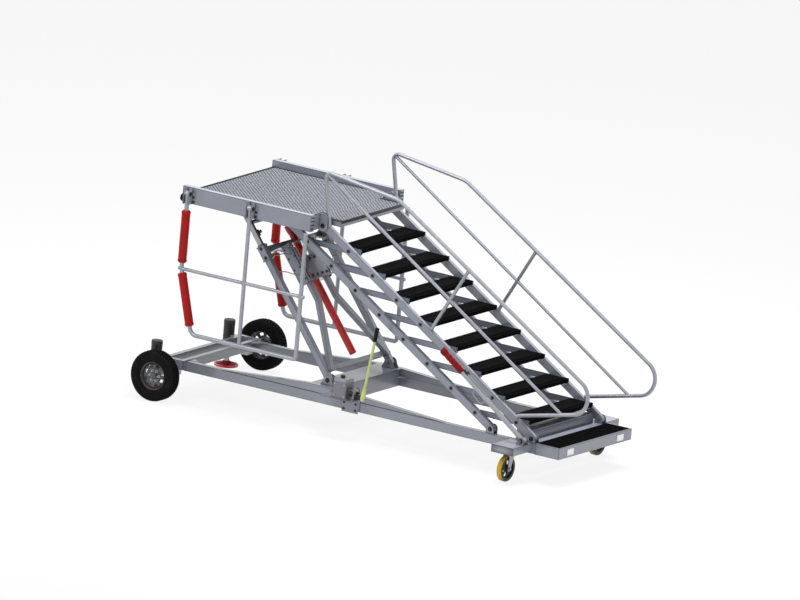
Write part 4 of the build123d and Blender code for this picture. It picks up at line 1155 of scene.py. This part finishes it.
def cylinder_rings():
    """Band and base cap of the barrel, and the gland that the rod slides through."""
    band = [(-0.006, 0.035), (-0.006, 0.039), (0.006, 0.039), (0.006, 0.035), (-0.006, 0.035)]
    base = [(-0.01, 0.0), (-0.01, 0.03), (-0.006, 0.0345), (0.003, 0.0362), (0.012, 0.0362),
            (0.014, 0.0345), (0.014, 0.0)]
    gland = [(0.0, 0.0202), (0.0, 0.04), (0.004, 0.0412), (0.012, 0.0412), (0.016, 0.036),
             (0.018, 0.025), (0.018, 0.0202), (0.0, 0.0202)]
    rings = [turned("ring", shape, on_mast(t, 0, CYLINDER_OUT), MAST_ALONG, 40)
             for shape, t in ((band, 1.48), (base, 0.185))]
    fitted("cylinder_rings", rings, "mast_lower", "red_paint", smooth=40.0)
    set_down(turned("gland", gland, on_mast(1.536, 0, CYLINDER_OUT), MAST_ALONG, 40), "mast_lower",
             "black_steel")


def mast_trim():
    mast_bolts()
    head_block()
    lock_pins()
    mast_collars()
    height_latch()
    cylinder_rings()


# ---- jacks ----
JACK_RIBS = 6


def jack_trim(side):
    base = at(JACK_X, SIDES[side] * RAIL_OUTER, 0)
    up = (0, 0, 1)
    cap = turned("jack_cap", [
        (0.4985, 0.0), (0.5, 0.03), (0.4995, 0.044), (0.496, 0.05), (0.489, 0.0545), (0.466, 0.0555),
        (0.464, 0.0538), (0.44, 0.0538)], base, up, 56)
    collar = turned("jack_collar", [
        (0.229, 0.053), (0.229, 0.0575), (0.225, 0.059), (0.21, 0.059), (0.208, 0.057),
        (0.208, 0.0262), (0.22, 0.0262)], base, up, 56)
    fitted(f"jack_sleeve_{side}", [cap, collar], "chassis", "black_steel")
    foot = turned("jack_foot", [
        (0.051, 0.0), (0.05, 0.108), (0.052, 0.114), (0.057, 0.1158), (0.064, 0.1145), (0.067, 0.111),
        (0.069, 0.09), (0.0745, 0.052), (0.093, 0.04), (0.096, 0.036), (0.0965, 0.025)], base, up, 64)
    ribs = []
    for k in range(JACK_RIBS):
        rib = box_piece("rib", (0.04, -0.003, 0.066), (0.098, 0.003, 0.08), 0.001, 1)
        with Edit(rib) as edit:
            edit.faces(lambda centre, normal: centre.x > 0.09)
            bpy.ops.transform.resize(value=(1.0, 1.0, 0.35), center_override=(0.098, 0, 0.066))
        rib.data.transform(Matrix.Translation(base) @ Matrix.Rotation(2 * math.pi * k / JACK_RIBS, 4, "Z"))
        ribs.append(rib)
    fitted(f"jack_foot_{side}", [foot, *ribs], f"jack_{side}", "lever_red", slot="red_paint", smooth=40.0)
    stem = turned(f"jack_stem_{side}", [
        (0.096, 0.0), (0.096, 0.0262), (0.1, 0.0272), (0.106, 0.0272), (0.108, 0.0251), (0.19, 0.0251),
        (0.19, 0.0)], base, up, 40)
    set_down(stem, f"jack_{side}", "zinc")


# ---- pump ----
def pump_body():
    """Lid and foot of the tank, valve block, fittings, web plate of the shelf and their bolts."""
    y = PUMP_LINE
    lid = box_piece("tank_lid", at(PUMP_X - 0.07, y - 0.071, TANK_TOP - 0.01),
                    at(PUMP_X + 0.078, y + 0.071, TANK_TOP + 0.034), 0.012, 3)
    with Edit(lid) as edit:
        edit.faces(lambda centre, normal: normal.z > 0.95)
        bpy.ops.mesh.inset(thickness=0.012)
        bpy.ops.transform.translate(value=(0, 0, -0.002))
    base = box_piece("tank_foot", at(PUMP_X - 0.09, y - 0.08, PUMP_FLOOR),
                     at(PUMP_X + 0.16, y + 0.08, PUMP_FLOOR + 0.008), 0.002)
    fitted("pump_plates", [lid, base], "chassis", "grey_paint")

    filler = [(0.0, 0.016), (0.004, 0.021), (0.01, 0.023), (0.02, 0.023), (0.024, 0.02), (0.025, 0.0)]
    relief = [(0.0, 0.01), (0.03, 0.01), (0.032, 0.022), (0.046, 0.024), (0.052, 0.018), (0.053, 0.0)]
    ram = [(0.0, 0.0225), (0.01, 0.026), (0.018, 0.026), (0.022, 0.02), (0.023, 0.0)]
    outlet = [(0.0, 0.014), (0.018, 0.014), (0.02, 0.011), (0.03, 0.011), (0.031, 0.0)]
    turnings = (
        (filler, (-0.01, 0.0, 0.591), (0, 0, 1), 12),
        (relief, (0.115, -0.04, 0.44), (0, -1, 0), 16),
        (ram, (0.12, -0.052, 0.48), (0, -1, 0), 24),
        (ram, (0.12, 0.052, 0.48), (0, 1, 0), 24),
        (outlet, (0.146, 0.022, 0.47), (1, 0, 0), 6),
    )
    black = [turned("fitting", shape, at(PUMP_X + px, y + py, z), axis, steps)
             for shape, (px, py, z), axis, steps in turnings]
    block = box_piece("valve_block", at(PUMP_X + 0.078, y - 0.044, 0.406),
                      at(PUMP_X + 0.152, y + 0.044, 0.503), 0.004)
    yoke = box_piece("yoke", at(PUMP_X + 0.132, y - 0.026, 0.412),
                     at(PUMP_X + 0.205, y + 0.026, 0.456), 0.006)
    with Edit(yoke) as edit:
        edit.faces(lambda centre, normal: normal.x > 0.9)
        bpy.ops.transform.resize(value=(1.0, 0.7, 0.75))
    set_down(block, "chassis", "zinc")
    ports = [turned("port", [(0.0, 0.011), (0.004, 0.011), (0.005, 0.006), (0.005, 0.0)],
                    at(PUMP_X + px, y - 0.0435, z), (0, -1, 0), 20)
             for px, z in ((0.096, 0.482), (0.136, 0.482), (0.096, 0.43))]
    fitted("pump_fittings", [yoke, *black, *ports], "chassis", "black_steel")
    web = side_box("shelf_bracket", -1, (1.886, 2.07), (RAIL_OUTER + 0.0005, RAIL_OUTER + 0.01),
                   (0.246, 0.374))
    set_down(web, "chassis", "grey_paint")
    heads = [(at(x, -RAIL_OUTER - 0.0098, z), (0, -1, 0)) for x in (1.912, 2.044) for z in (0.276, 0.336)]
    bolts("shelf_bracket_bolts", 0.015, 0.006, heads, "chassis")
    seats = [(at(px, y + j * 0.066, PUMP_FLOOR + 0.0078), (0, 0, 1))
             for px in (PUMP_X - 0.08, PUMP_X + 0.15) for j in (-1, 1)]
    seats += [(at(PUMP_X + i * 0.055 + 0.004, y - 0.0722, z), (0, -1, 0))
              for i in (-1, 1) for z in (0.425, 0.538)]
    bolts("pump_bolts", 0.013, 0.006, seats, "chassis", "zinc")


def pump_handle():
    """Socket and ring of the handle, and the ribs of its grip."""
    foot = at(PUMP_X + HANDLE_FOOT[0], PUMP_LINE, HANDLE_FOOT[1])
    top = at(PUMP_X + HANDLE_TOP[0], PUMP_LINE, HANDLE_TOP[1])
    along = (top - foot).normalized()
    socket = turned("handle_socket", [(-0.026, 0.015), (-0.026, 0.0215), (-0.02, 0.0235), (0.06, 0.0235),
                                      (0.068, 0.02), (0.11, 0.0185), (0.118, 0.015), (-0.026, 0.015)],
                    foot, along, 32)
    ring = weld_ring("handle_ring", foot + along * 0.4, along, 0.0142, 0.003, 32)
    fitted("handle_socket", [socket, ring], "chassis", "handle_yellow")
    rib = [(-0.0045, 0.0186), (-0.002, 0.0204), (0.002, 0.0204), (0.0045, 0.0186), (-0.0045, 0.0186)]
    ribs = [turned("grip_rib", rib, top + along * (0.02 + 0.015 * k), along, 32) for k in range(7)]
    ribs.append(turned("grip_end", [(0.0, 0.0186), (0.004, 0.0212), (0.01, 0.0212), (0.016, 0.016),
                                    (0.018, 0.0)], top + along * 0.12, along, 32))
    fitted("handle_grip_ribs", ribs, "chassis", "black_grip")


def pump_trim():
    pump_body()
    pump_handle()


# ---- lifting lever ----
def lever_trim():
    """Moulded grip over its core, trigger rod with its hoop and keepers, and the pivot's bolts."""
    foot = at(FOOT[0] - 0.012, LEVER_LINE, FOOT[1])
    along = Vector((-math.cos(LEVER_RISE), 0, math.sin(LEVER_RISE)))
    out = Vector((math.sin(LEVER_RISE), 0, math.cos(LEVER_RISE)))
    profile = [(-0.004, 0.018), (-0.003, 0.026), (0.006, 0.03), (0.02, 0.031)]
    for k in range(4):
        place = 0.038 + k * 0.046
        profile += [(place, 0.0288), (place + 0.01, 0.032), (place + 0.026, 0.0324),
                    (place + 0.036, 0.0292)]
    profile += [(0.238, 0.03), (0.252, 0.0345), (0.274, 0.0352), (0.29, 0.0325), (0.299, 0.024),
                (0.3015, 0.0)]
    grip = turned("lever_grip_cover", profile, foot + along * (LEVER_LENGTH - LEVER_GRIP), along, 40)
    set_down(grip, "castor_lever", "lever_red", replaces=("lever_grip",), smooth=60.0)
    rod = tube_piece("trigger_rod", [foot + along * t + out * 0.032 for t in (0.56, 0.88)], 0.01, 0.0)
    hoop = tube_piece("trigger_hoop", [foot + along * t - out * n for t, n in (
        (0.7, 0.02), (0.69, 0.075), (0.56, 0.085), (0.545, 0.02))], 0.011, 0.032)
    ring = [(-0.006, 0.0232), (-0.006, 0.0253), (0.006, 0.0253), (0.006, 0.0232), (-0.006, 0.0232)]
    keepers = [turned("keeper", ring, foot + along * t, along, 40) for t in (0.52, 0.72, 0.89)]
    fitted("lever_fittings", [rod, hoop, *keepers], "castor_lever", "tube", smooth=50.0)
    block = box_piece("trigger", (-0.03, -0.01, -0.008), (0.03, 0.01, 0.008), 0.003)
    turn = Matrix((along, (0, 1, 0), out)).transposed().to_4x4()
    block.data.transform(Matrix.Translation(foot + along * 0.875 + out * 0.032) @ turn)
    set_down(block, "castor_lever", "black_steel")
    ends = [(at(FOOT[0] - 0.012, LEVER_LINE + s * 0.0392, FOOT[1]), (0, s, 0)) for s in (-1, 1)]
    bolts("lever_pivot_bolts", 0.028, 0.01, ends, "chassis")


# ---- chassis ----
def chassis_seam_shades():
    """Painted shade as dark rods along the seams of the haunches, caps of the outriggers and corner gussets.
    """
    # Painted shade: a black rod along each haunch's seam with the rail, where the joint only casts a thin
    # shadow.
    seams = [tube_piece("seam", [at(x, s * (RAIL_OUTER - 0.0012), RAIL_TOP) for x in (0.51, 1.5, 3.04)],
                        0.006) for s in (-1, 1)]
    fitted("haunch_seam_shades", seams, "chassis", "black_steel", smooth=50.0)
    caps = [side_box("arm_cap", s, (3.799, 4.051), (end - 0.001, end + 0.003), (0.289, 0.366), 0.0015)
            for s, end in ((-1, 0.95), (1, 0.868))]
    fitted("outrigger_caps", caps, "chassis", "grey_paint")
    corners = ((0.1, 1, 0.3605), (1.49, -1, 0.3605), (1.76, 1, 0.3605), (3.81, -1, 0.296))
    fitted("chassis_gussets", [gusset(s, x, turn, 0.521, z, 0.09, 0.08)
                               for s in (-1, 1) for x, turn, z in corners], "chassis", "grey_paint")


def base_step_trim(rib_count):
    """Frames of the reflectors, ribs of the cover and the pale nosing."""
    face_x = high("base_step").x
    front = face_x - AXLE_X
    frames = []
    for s in (-1, 1):
        rim = side_box("reflector_frame", s, (front, front + 0.0052), (0.376, 0.484), (0.285, 0.343), 0.0012)
        with Edit(rim) as edit:
            edit.faces(lambda centre, normal: normal.x > 0.9)
            bpy.ops.mesh.inset(thickness=0.0045)
            bpy.ops.transform.translate(value=(-0.0016, 0, 0))
        frames.append(rim)
    fitted("reflector_frames", frames, "chassis", "reflector")
    top = high("base_step_cover").z
    x0, x1 = low("base_step_cover").x, high("base_step_cover").x
    places = [x0 + 0.01 + k * (x1 - x0 - 0.02) / (rib_count - 1) for k in range(rib_count)]
    ribs = [box_piece("base_rib", (x - 0.0022, -0.592, top - 0.0004), (x + 0.0022, 0.592, top + 0.002),
                      0.0008, 1) for x in places]
    fitted("base_tread_ribs", ribs, "chassis", "black_grit")
    step_top = high("base_step").z
    set_down(box_piece("base_nosing", (face_x - 0.0085, -0.6, step_top - 0.001),
                       (face_x - 0.0015, 0.6, step_top + 0.0035), 0.0015), "chassis", "tube")


def axle_flanges():
    turns = [k * math.pi / 2 + math.pi / 4 for k in range(4)]
    seats = [(at(-0.04 + 0.047 * math.cos(a), s * 0.6702, 0.245 + 0.047 * math.sin(a)), (0, s, 0))
             for s in (-1, 1) for a in turns]
    bolts("axle_flange_bolts", 0.013, 0.006, seats, "chassis", "zinc")


def chassis_trim(rib_count):
    chassis_seam_shades()
    base_step_trim(rib_count)
    axle_flanges()


# ---- stage ----
STAGE_REACH = 60.0
FLOOR_GAP = 0.0004
CAMERA_AWAY = 14.0
WHITE = (1.0, 1.0, 1.0, 1.0)


def emission_floor(colour, white_share):
    """A pale floor whose camera and mirror rays see a share of plain white, and which keeps the shadow."""
    material = bpy.data.materials.new("stage_floor")
    material.use_nodes = True
    nodes, links = material.node_tree.nodes, material.node_tree.links
    nodes.clear()
    out = nodes.new("ShaderNodeOutputMaterial")
    diffuse = nodes.new("ShaderNodeBsdfDiffuse")
    diffuse.inputs["Color"].default_value = (*colour, 1.0)
    white = nodes.new("ShaderNodeEmission")
    white.inputs["Color"].default_value = WHITE
    share = nodes.new("ShaderNodeMath")
    share.operation = "MULTIPLY"
    share.inputs[1].default_value = white_share
    links.new(seen_rays(nodes, links), share.inputs[0])
    mix = nodes.new("ShaderNodeMixShader")
    links.new(share.outputs[0], mix.inputs[0])
    links.new(diffuse.outputs[0], mix.inputs[1])
    links.new(white.outputs[0], mix.inputs[2])
    links.new(mix.outputs[0], out.inputs["Surface"])
    return material


def seen_rays(nodes, links):
    """1 for rays from the camera and for mirrored rays."""
    rays = nodes.new("ShaderNodeLightPath")
    most = nodes.new("ShaderNodeMath")
    most.operation = "MAXIMUM"
    links.new(rays.outputs["Is Camera Ray"], most.inputs[0])
    links.new(rays.outputs["Is Glossy Ray"], most.inputs[1])
    return most.outputs[0]


def studio_world(strength):
    world = bpy.data.worlds.new("studio")
    bpy.context.scene.world = world
    world.use_nodes = True
    nodes, links = world.node_tree.nodes, world.node_tree.links
    nodes.clear()
    out = nodes.new("ShaderNodeOutputWorld")
    mix = nodes.new("ShaderNodeMixShader")
    links.new(seen_rays(nodes, links), mix.inputs[0])
    for socket, colour, level in ((1, (0.97, 0.985, 1.0, 1.0), strength), (2, WHITE, 1.0)):
        background = nodes.new("ShaderNodeBackground")
        background.inputs["Color"].default_value = colour
        background.inputs["Strength"].default_value = level
        links.new(background.outputs[0], mix.inputs[socket])
    links.new(mix.outputs[0], out.inputs["Surface"])


def lamp(name, offset, size, power, mirrored):
    bpy.ops.object.light_add(type="AREA", location=(CAD_LOW + CAD_HIGH) / 2 + offset)
    light = bpy.context.object
    light.name = name
    light.data.shape = "DISK"
    light.data.size = size
    light.data.energy = power
    light.rotation_mode = "QUATERNION"
    light.rotation_quaternion = offset.to_track_quat("Z", "Y")
    light.visible_glossy = mirrored


def build_stage(sizes):
    floor_z = min(low("tyre_near").z, low("tyre_far").z)
    bpy.ops.mesh.primitive_plane_add(size=STAGE_REACH, location=(0, 0, floor_z - FLOOR_GAP))
    floor = named(bpy.context.object, "stage_floor")
    floor.data.materials.append(emission_floor(sizes.floor_colour, sizes.floor_white))
    studio_world(sizes.sky_strength)
    lamp("key_light", Vector((-3.5, -6.5, 6.5)), 5.0, sizes.key_power, True)
    lamp("top_light", Vector((0.5, 0.5, 8.5)), 6.0, sizes.top_power, False)


def build_camera(sizes):
    turn, lift, roll = sizes.camera_turn, sizes.camera_lift, sizes.camera_roll
    back = Vector((math.sin(turn) * math.cos(lift), -math.cos(turn) * math.cos(lift), math.sin(lift)))
    right = Vector((math.cos(turn), math.sin(turn), 0.0))
    up = back.cross(right)
    level = right * math.cos(roll) + up * math.sin(roll)
    above = up * math.cos(roll) - right * math.sin(roll)
    data = bpy.data.cameras.new("camera")
    data.type = "ORTHO"
    data.ortho_scale = sizes.camera_width
    data.clip_end = STAGE_REACH
    camera = bpy.data.objects.new("camera", data)
    bpy.context.scene.collection.objects.link(camera)
    camera.matrix_world = Matrix.Translation(Vector(sizes.camera_target) + back * CAMERA_AWAY) @ Matrix(
        (level, above, back)).transposed().to_4x4()
    bpy.context.scene.camera = camera
    bpy.context.scene.view_settings.view_transform = "Standard"


# ---- sizes and colours a user would change ----
def colour_prop(name, description, default):
    return bpy.props.FloatVectorProperty(name=name, description=description, subtype="COLOR", size=3,
                                         min=0.0, max=1.0, default=default)


def length_prop(name, description, default):
    return bpy.props.FloatProperty(name=name, description=description, subtype="DISTANCE", unit="LENGTH",
                                   min=0.0, default=default)


def power_prop(name, description, default):
    return bpy.props.FloatProperty(name=name, description=description, unit="POWER", min=0.0, default=default)


def angle_prop(name, description, degrees):
    return bpy.props.FloatProperty(name=name, description=description, subtype="ANGLE",
                                   default=math.radians(degrees))


class StairSizes(bpy.types.PropertyGroup):
    """Colours and fine sizes of the stair."""

    paint_colour: colour_prop("Paint", "Grey of the sprayed steel", (0.205, 0.219, 0.265))
    tube_colour: colour_prop("Tubes", "Colour of the handrails, guards and lever", (0.33, 0.34, 0.372))
    deck_colour: colour_prop("Deck", "Ground colour of the deck plate", (0.02, 0.021, 0.024))
    pad_colour: colour_prop("Pads", "Red of the foam sleeves", (0.33, 0.004, 0.003))
    rim_colour: colour_prop("Rims", "Colour of the disc wheels", (0.085, 0.086, 0.092))
    castor_colour: colour_prop("Castors", "Yellow of the castors' treads", (0.52, 0.33, 0.02))
    # Painted light: raised above the jacks' red to offset the shade under the deck.
    cylinder_red_with_painted_light: colour_prop("Cylinder", "Red of the cylinder's barrel", (0.56, 0.006, 0.009))
    grip_colour: colour_prop("Grip", "Red of the lever's grip and the jacks' feet", (0.17, 0.004, 0.006))
    handle_colour: colour_prop("Pump handle", "Yellow-green of the pump's handle", (0.5, 0.56, 0.2))
    lug_pitch: length_prop("Lug pitch", "Distance between like lugs of the deck plate", 0.044)
    pad_radius: length_prop("Pad radius", "Radius of the foam sleeves before they swell", 0.0415)
    pad_puff: length_prop("Pad puff", "Furthest that a sleeve's cover swells", 0.004)
    tread_ribs: bpy.props.IntProperty(
        name="Tread ribs", description="Ribs along the front of each step", min=0, default=9)
    base_ribs: bpy.props.IntProperty(
        name="Base ribs", description="Ribs across the base step's cover", min=2, default=24)


class StairStage(bpy.types.PropertyGroup):
    """Floor, light and camera."""

    floor_colour: colour_prop("Floor", "Colour of the floor under the object", (0.8, 0.8, 0.8))
    floor_white: bpy.props.FloatProperty(
        name="Floor white", description="Share of plain white that the camera sees in the floor", min=0.0,
        max=1.0, subtype="FACTOR", default=0.88)
    sky_strength: bpy.props.FloatProperty(
        name="Sky", description="Strength of the even light from all round", min=0.0, default=0.38)
    key_power: power_prop("Key", "Power of the lamp in front", 300.0)
    top_power: power_prop("Top", "Power of the lamp overhead", 1650.0)
    camera_turn: angle_prop("Turn", "Camera's angle round the object", 32.31)
    camera_lift: angle_prop("Lift", "Camera's angle above the floor", 13.874)
    camera_roll: angle_prop("Roll", "Camera's roll", 4.786)
    camera_width: length_prop("Width", "Width that the camera takes in", 7.587)
    camera_target: bpy.props.FloatVectorProperty(
        name="Target", description="Point in the middle of the view", size=3, subtype="XYZ",
        default=(-0.65, 0.883, 1.0))


# ---- operators ----
class STAIRS_OT_finishes(bpy.types.Operator):
    """Gives every part of the frame its finish"""

    bl_idname = "stairs.finishes"
    bl_label = "Finishes"

    def execute(self, context):
        make_finishes(context.scene.stair_sizes)
        slots = {part["node"]: part["material_slot"] for part in frame["record"]["subparts"]}
        for node, obj in NODES.items():
            finish = "steps" if node.startswith("step_") else slots[node]
            obj.data.materials.clear()
            obj.data.materials.append(MATERIALS[finish])
        return {"FINISHED"}


class STAIRS_OT_tyres(bpy.types.Operator):
    """Tyres with ribs, shoulders and cut tread"""

    bl_idname = "stairs.tyres"
    bl_label = "Road tyres"

    def execute(self, context):
        for side in SIDES:
            tyre_piece(side)
        return {"FINISHED"}


class STAIRS_OT_rims(bpy.types.Operator):
    """Pressed wheels with openings, nuts and hub cap"""

    bl_idname = "stairs.rims"
    bl_label = "Disc wheels"

    def execute(self, context):
        for side in SIDES:
            rim_piece(side)
        return {"FINISHED"}


class STAIRS_OT_castors(bpy.types.Operator):
    """Spoked castor wheels with their treads, seals and bolts"""

    bl_idname = "stairs.castors"
    bl_label = "Castors"

    def execute(self, context):
        for side in SIDES:
            castor_piece(side)
        return {"FINISHED"}


class STAIRS_OT_steps(bpy.types.Operator):
    """Ribbed covers, pin bolts and clips of every step"""

    bl_idname = "stairs.steps"
    bl_label = "Step covers"

    def execute(self, context):
        for index in range(1, STEP_COUNT + 1):
            step_pieces(index, context.scene.stair_sizes.tread_ribs)
        return {"FINISHED"}


class STAIRS_OT_pivots(bpy.types.Operator):
    """Bolt heads on the stair's and platform's pivots"""

    bl_idname = "stairs.pivots"
    bl_label = "Pivot bolts"

    def execute(self, context):
        pivot_bolts()
        return {"FINISHED"}


class STAIRS_OT_deck(bpy.types.Operator):
    """Raised pattern of the deck plate"""

    bl_idname = "stairs.deck"
    bl_label = "Deck pattern"

    def execute(self, context):
        deck_lugs(context.scene.stair_sizes.lug_pitch)
        return {"FINISHED"}


class STAIRS_OT_platform(bpy.types.Operator):
    """Edge strips of painted shade, hinge feet, gussets, beam ends with slots of painted shade, and buffer
    rings
    """

    bl_idname = "stairs.platform"
    bl_label = "Platform trim"

    def execute(self, context):
        platform_trim()
        return {"FINISHED"}


class STAIRS_OT_pads(bpy.types.Operator):
    """Padded foam sleeves of the guards"""

    bl_idname = "stairs.pads"
    bl_label = "Guard pads"

    def execute(self, context):
        sizes = context.scene.stair_sizes
        for side in SIDES:
            guard_pads(side, sizes.pad_radius, sizes.pad_puff)
        return {"FINISHED"}


class STAIRS_OT_welds(bpy.types.Operator):
    """Weld fillets and end plugs of the guards"""

    bl_idname = "stairs.welds"
    bl_label = "Guard welds"

    def execute(self, context):
        for side in SIDES:
            guard_welds(side)
        return {"FINISHED"}


class STAIRS_OT_rails(bpy.types.Operator):
    """Handrail welds and pin bushes"""

    bl_idname = "stairs.rails"
    bl_label = "Stair fittings"

    def execute(self, context):
        stair_fittings()
        return {"FINISHED"}


class STAIRS_OT_mast(bpy.types.Operator):
    """Bolts, head block cover, lock pins, collars, latch and cylinder rings"""

    bl_idname = "stairs.mast"
    bl_label = "Mast trim"

    def execute(self, context):
        mast_trim()
        return {"FINISHED"}


class STAIRS_OT_jacks(bpy.types.Operator):
    """Capped sleeves, stems and ribbed feet of the jacks"""

    bl_idname = "stairs.jacks"
    bl_label = "Jacks"

    def execute(self, context):
        for side in SIDES:
            jack_trim(side)
        return {"FINISHED"}


class STAIRS_OT_pump(bpy.types.Operator):
    """Lid, fittings, bolts, handle socket and grip of the hand pump"""

    bl_idname = "stairs.pump"
    bl_label = "Hand pump"

    def execute(self, context):
        pump_trim()
        return {"FINISHED"}


class STAIRS_OT_lever(bpy.types.Operator):
    """Moulded grip, trigger rod, hoop and bolts of the lifting lever"""

    bl_idname = "stairs.lever"
    bl_label = "Lifting lever"

    def execute(self, context):
        lever_trim()
        return {"FINISHED"}


class STAIRS_OT_chassis(bpy.types.Operator):
    """Painted shade along the seams, gussets, reflector frames, base step and axle flanges"""

    bl_idname = "stairs.chassis"
    bl_label = "Chassis trim"

    def execute(self, context):
        chassis_trim(context.scene.stair_sizes.base_ribs)
        return {"FINISHED"}


class STAIRS_OT_stage(bpy.types.Operator):
    """Builds the floor, the lights and the camera"""

    bl_idname = "stairs.stage"
    bl_label = "Stage"

    def execute(self, context):
        build_stage(context.scene.stair_stage)
        build_camera(context.scene.stair_stage)
        return {"FINISHED"}


OPERATORS = (
    STAIRS_OT_finishes, STAIRS_OT_tyres, STAIRS_OT_rims, STAIRS_OT_castors, STAIRS_OT_steps, STAIRS_OT_pivots,
    STAIRS_OT_deck, STAIRS_OT_platform, STAIRS_OT_pads, STAIRS_OT_welds, STAIRS_OT_rails, STAIRS_OT_mast,
    STAIRS_OT_jacks, STAIRS_OT_pump, STAIRS_OT_lever, STAIRS_OT_chassis, STAIRS_OT_stage,
)


class STAIRS_PT_panel(bpy.types.Panel):
    """Lists the stair's sizes, colours and pieces"""

    bl_idname = "STAIRS_PT_panel"
    bl_label = "Mobile Aircraft Stairs"
    bl_space_type = "VIEW_3D"
    bl_region_type = "UI"
    bl_category = "Stairs"

    def draw(self, context):
        scene = context.scene
        for owner, group in ((scene.stair_sizes, StairSizes), (scene.stair_stage, StairStage)):
            for field in group.__annotations__:
                self.layout.prop(owner, field)
        for cls in OPERATORS:
            self.layout.operator(cls.bl_idname)


CLASSES = (StairSizes, StairStage, *OPERATORS, STAIRS_PT_panel)


def register():
    for cls in CLASSES:
        bpy.utils.register_class(cls)
    bpy.types.Scene.stair_sizes = bpy.props.PointerProperty(type=StairSizes)
    bpy.types.Scene.stair_stage = bpy.props.PointerProperty(type=StairStage)


def unregister():
    del bpy.types.Scene.stair_stage
    del bpy.types.Scene.stair_sizes
    for cls in reversed(CLASSES):
        bpy.utils.unregister_class(cls)


def main():
    register()
    for cls in OPERATORS:
        getattr(bpy.ops.stairs, cls.bl_idname.split(".")[1])()


if __name__ == "__main__":
    main()
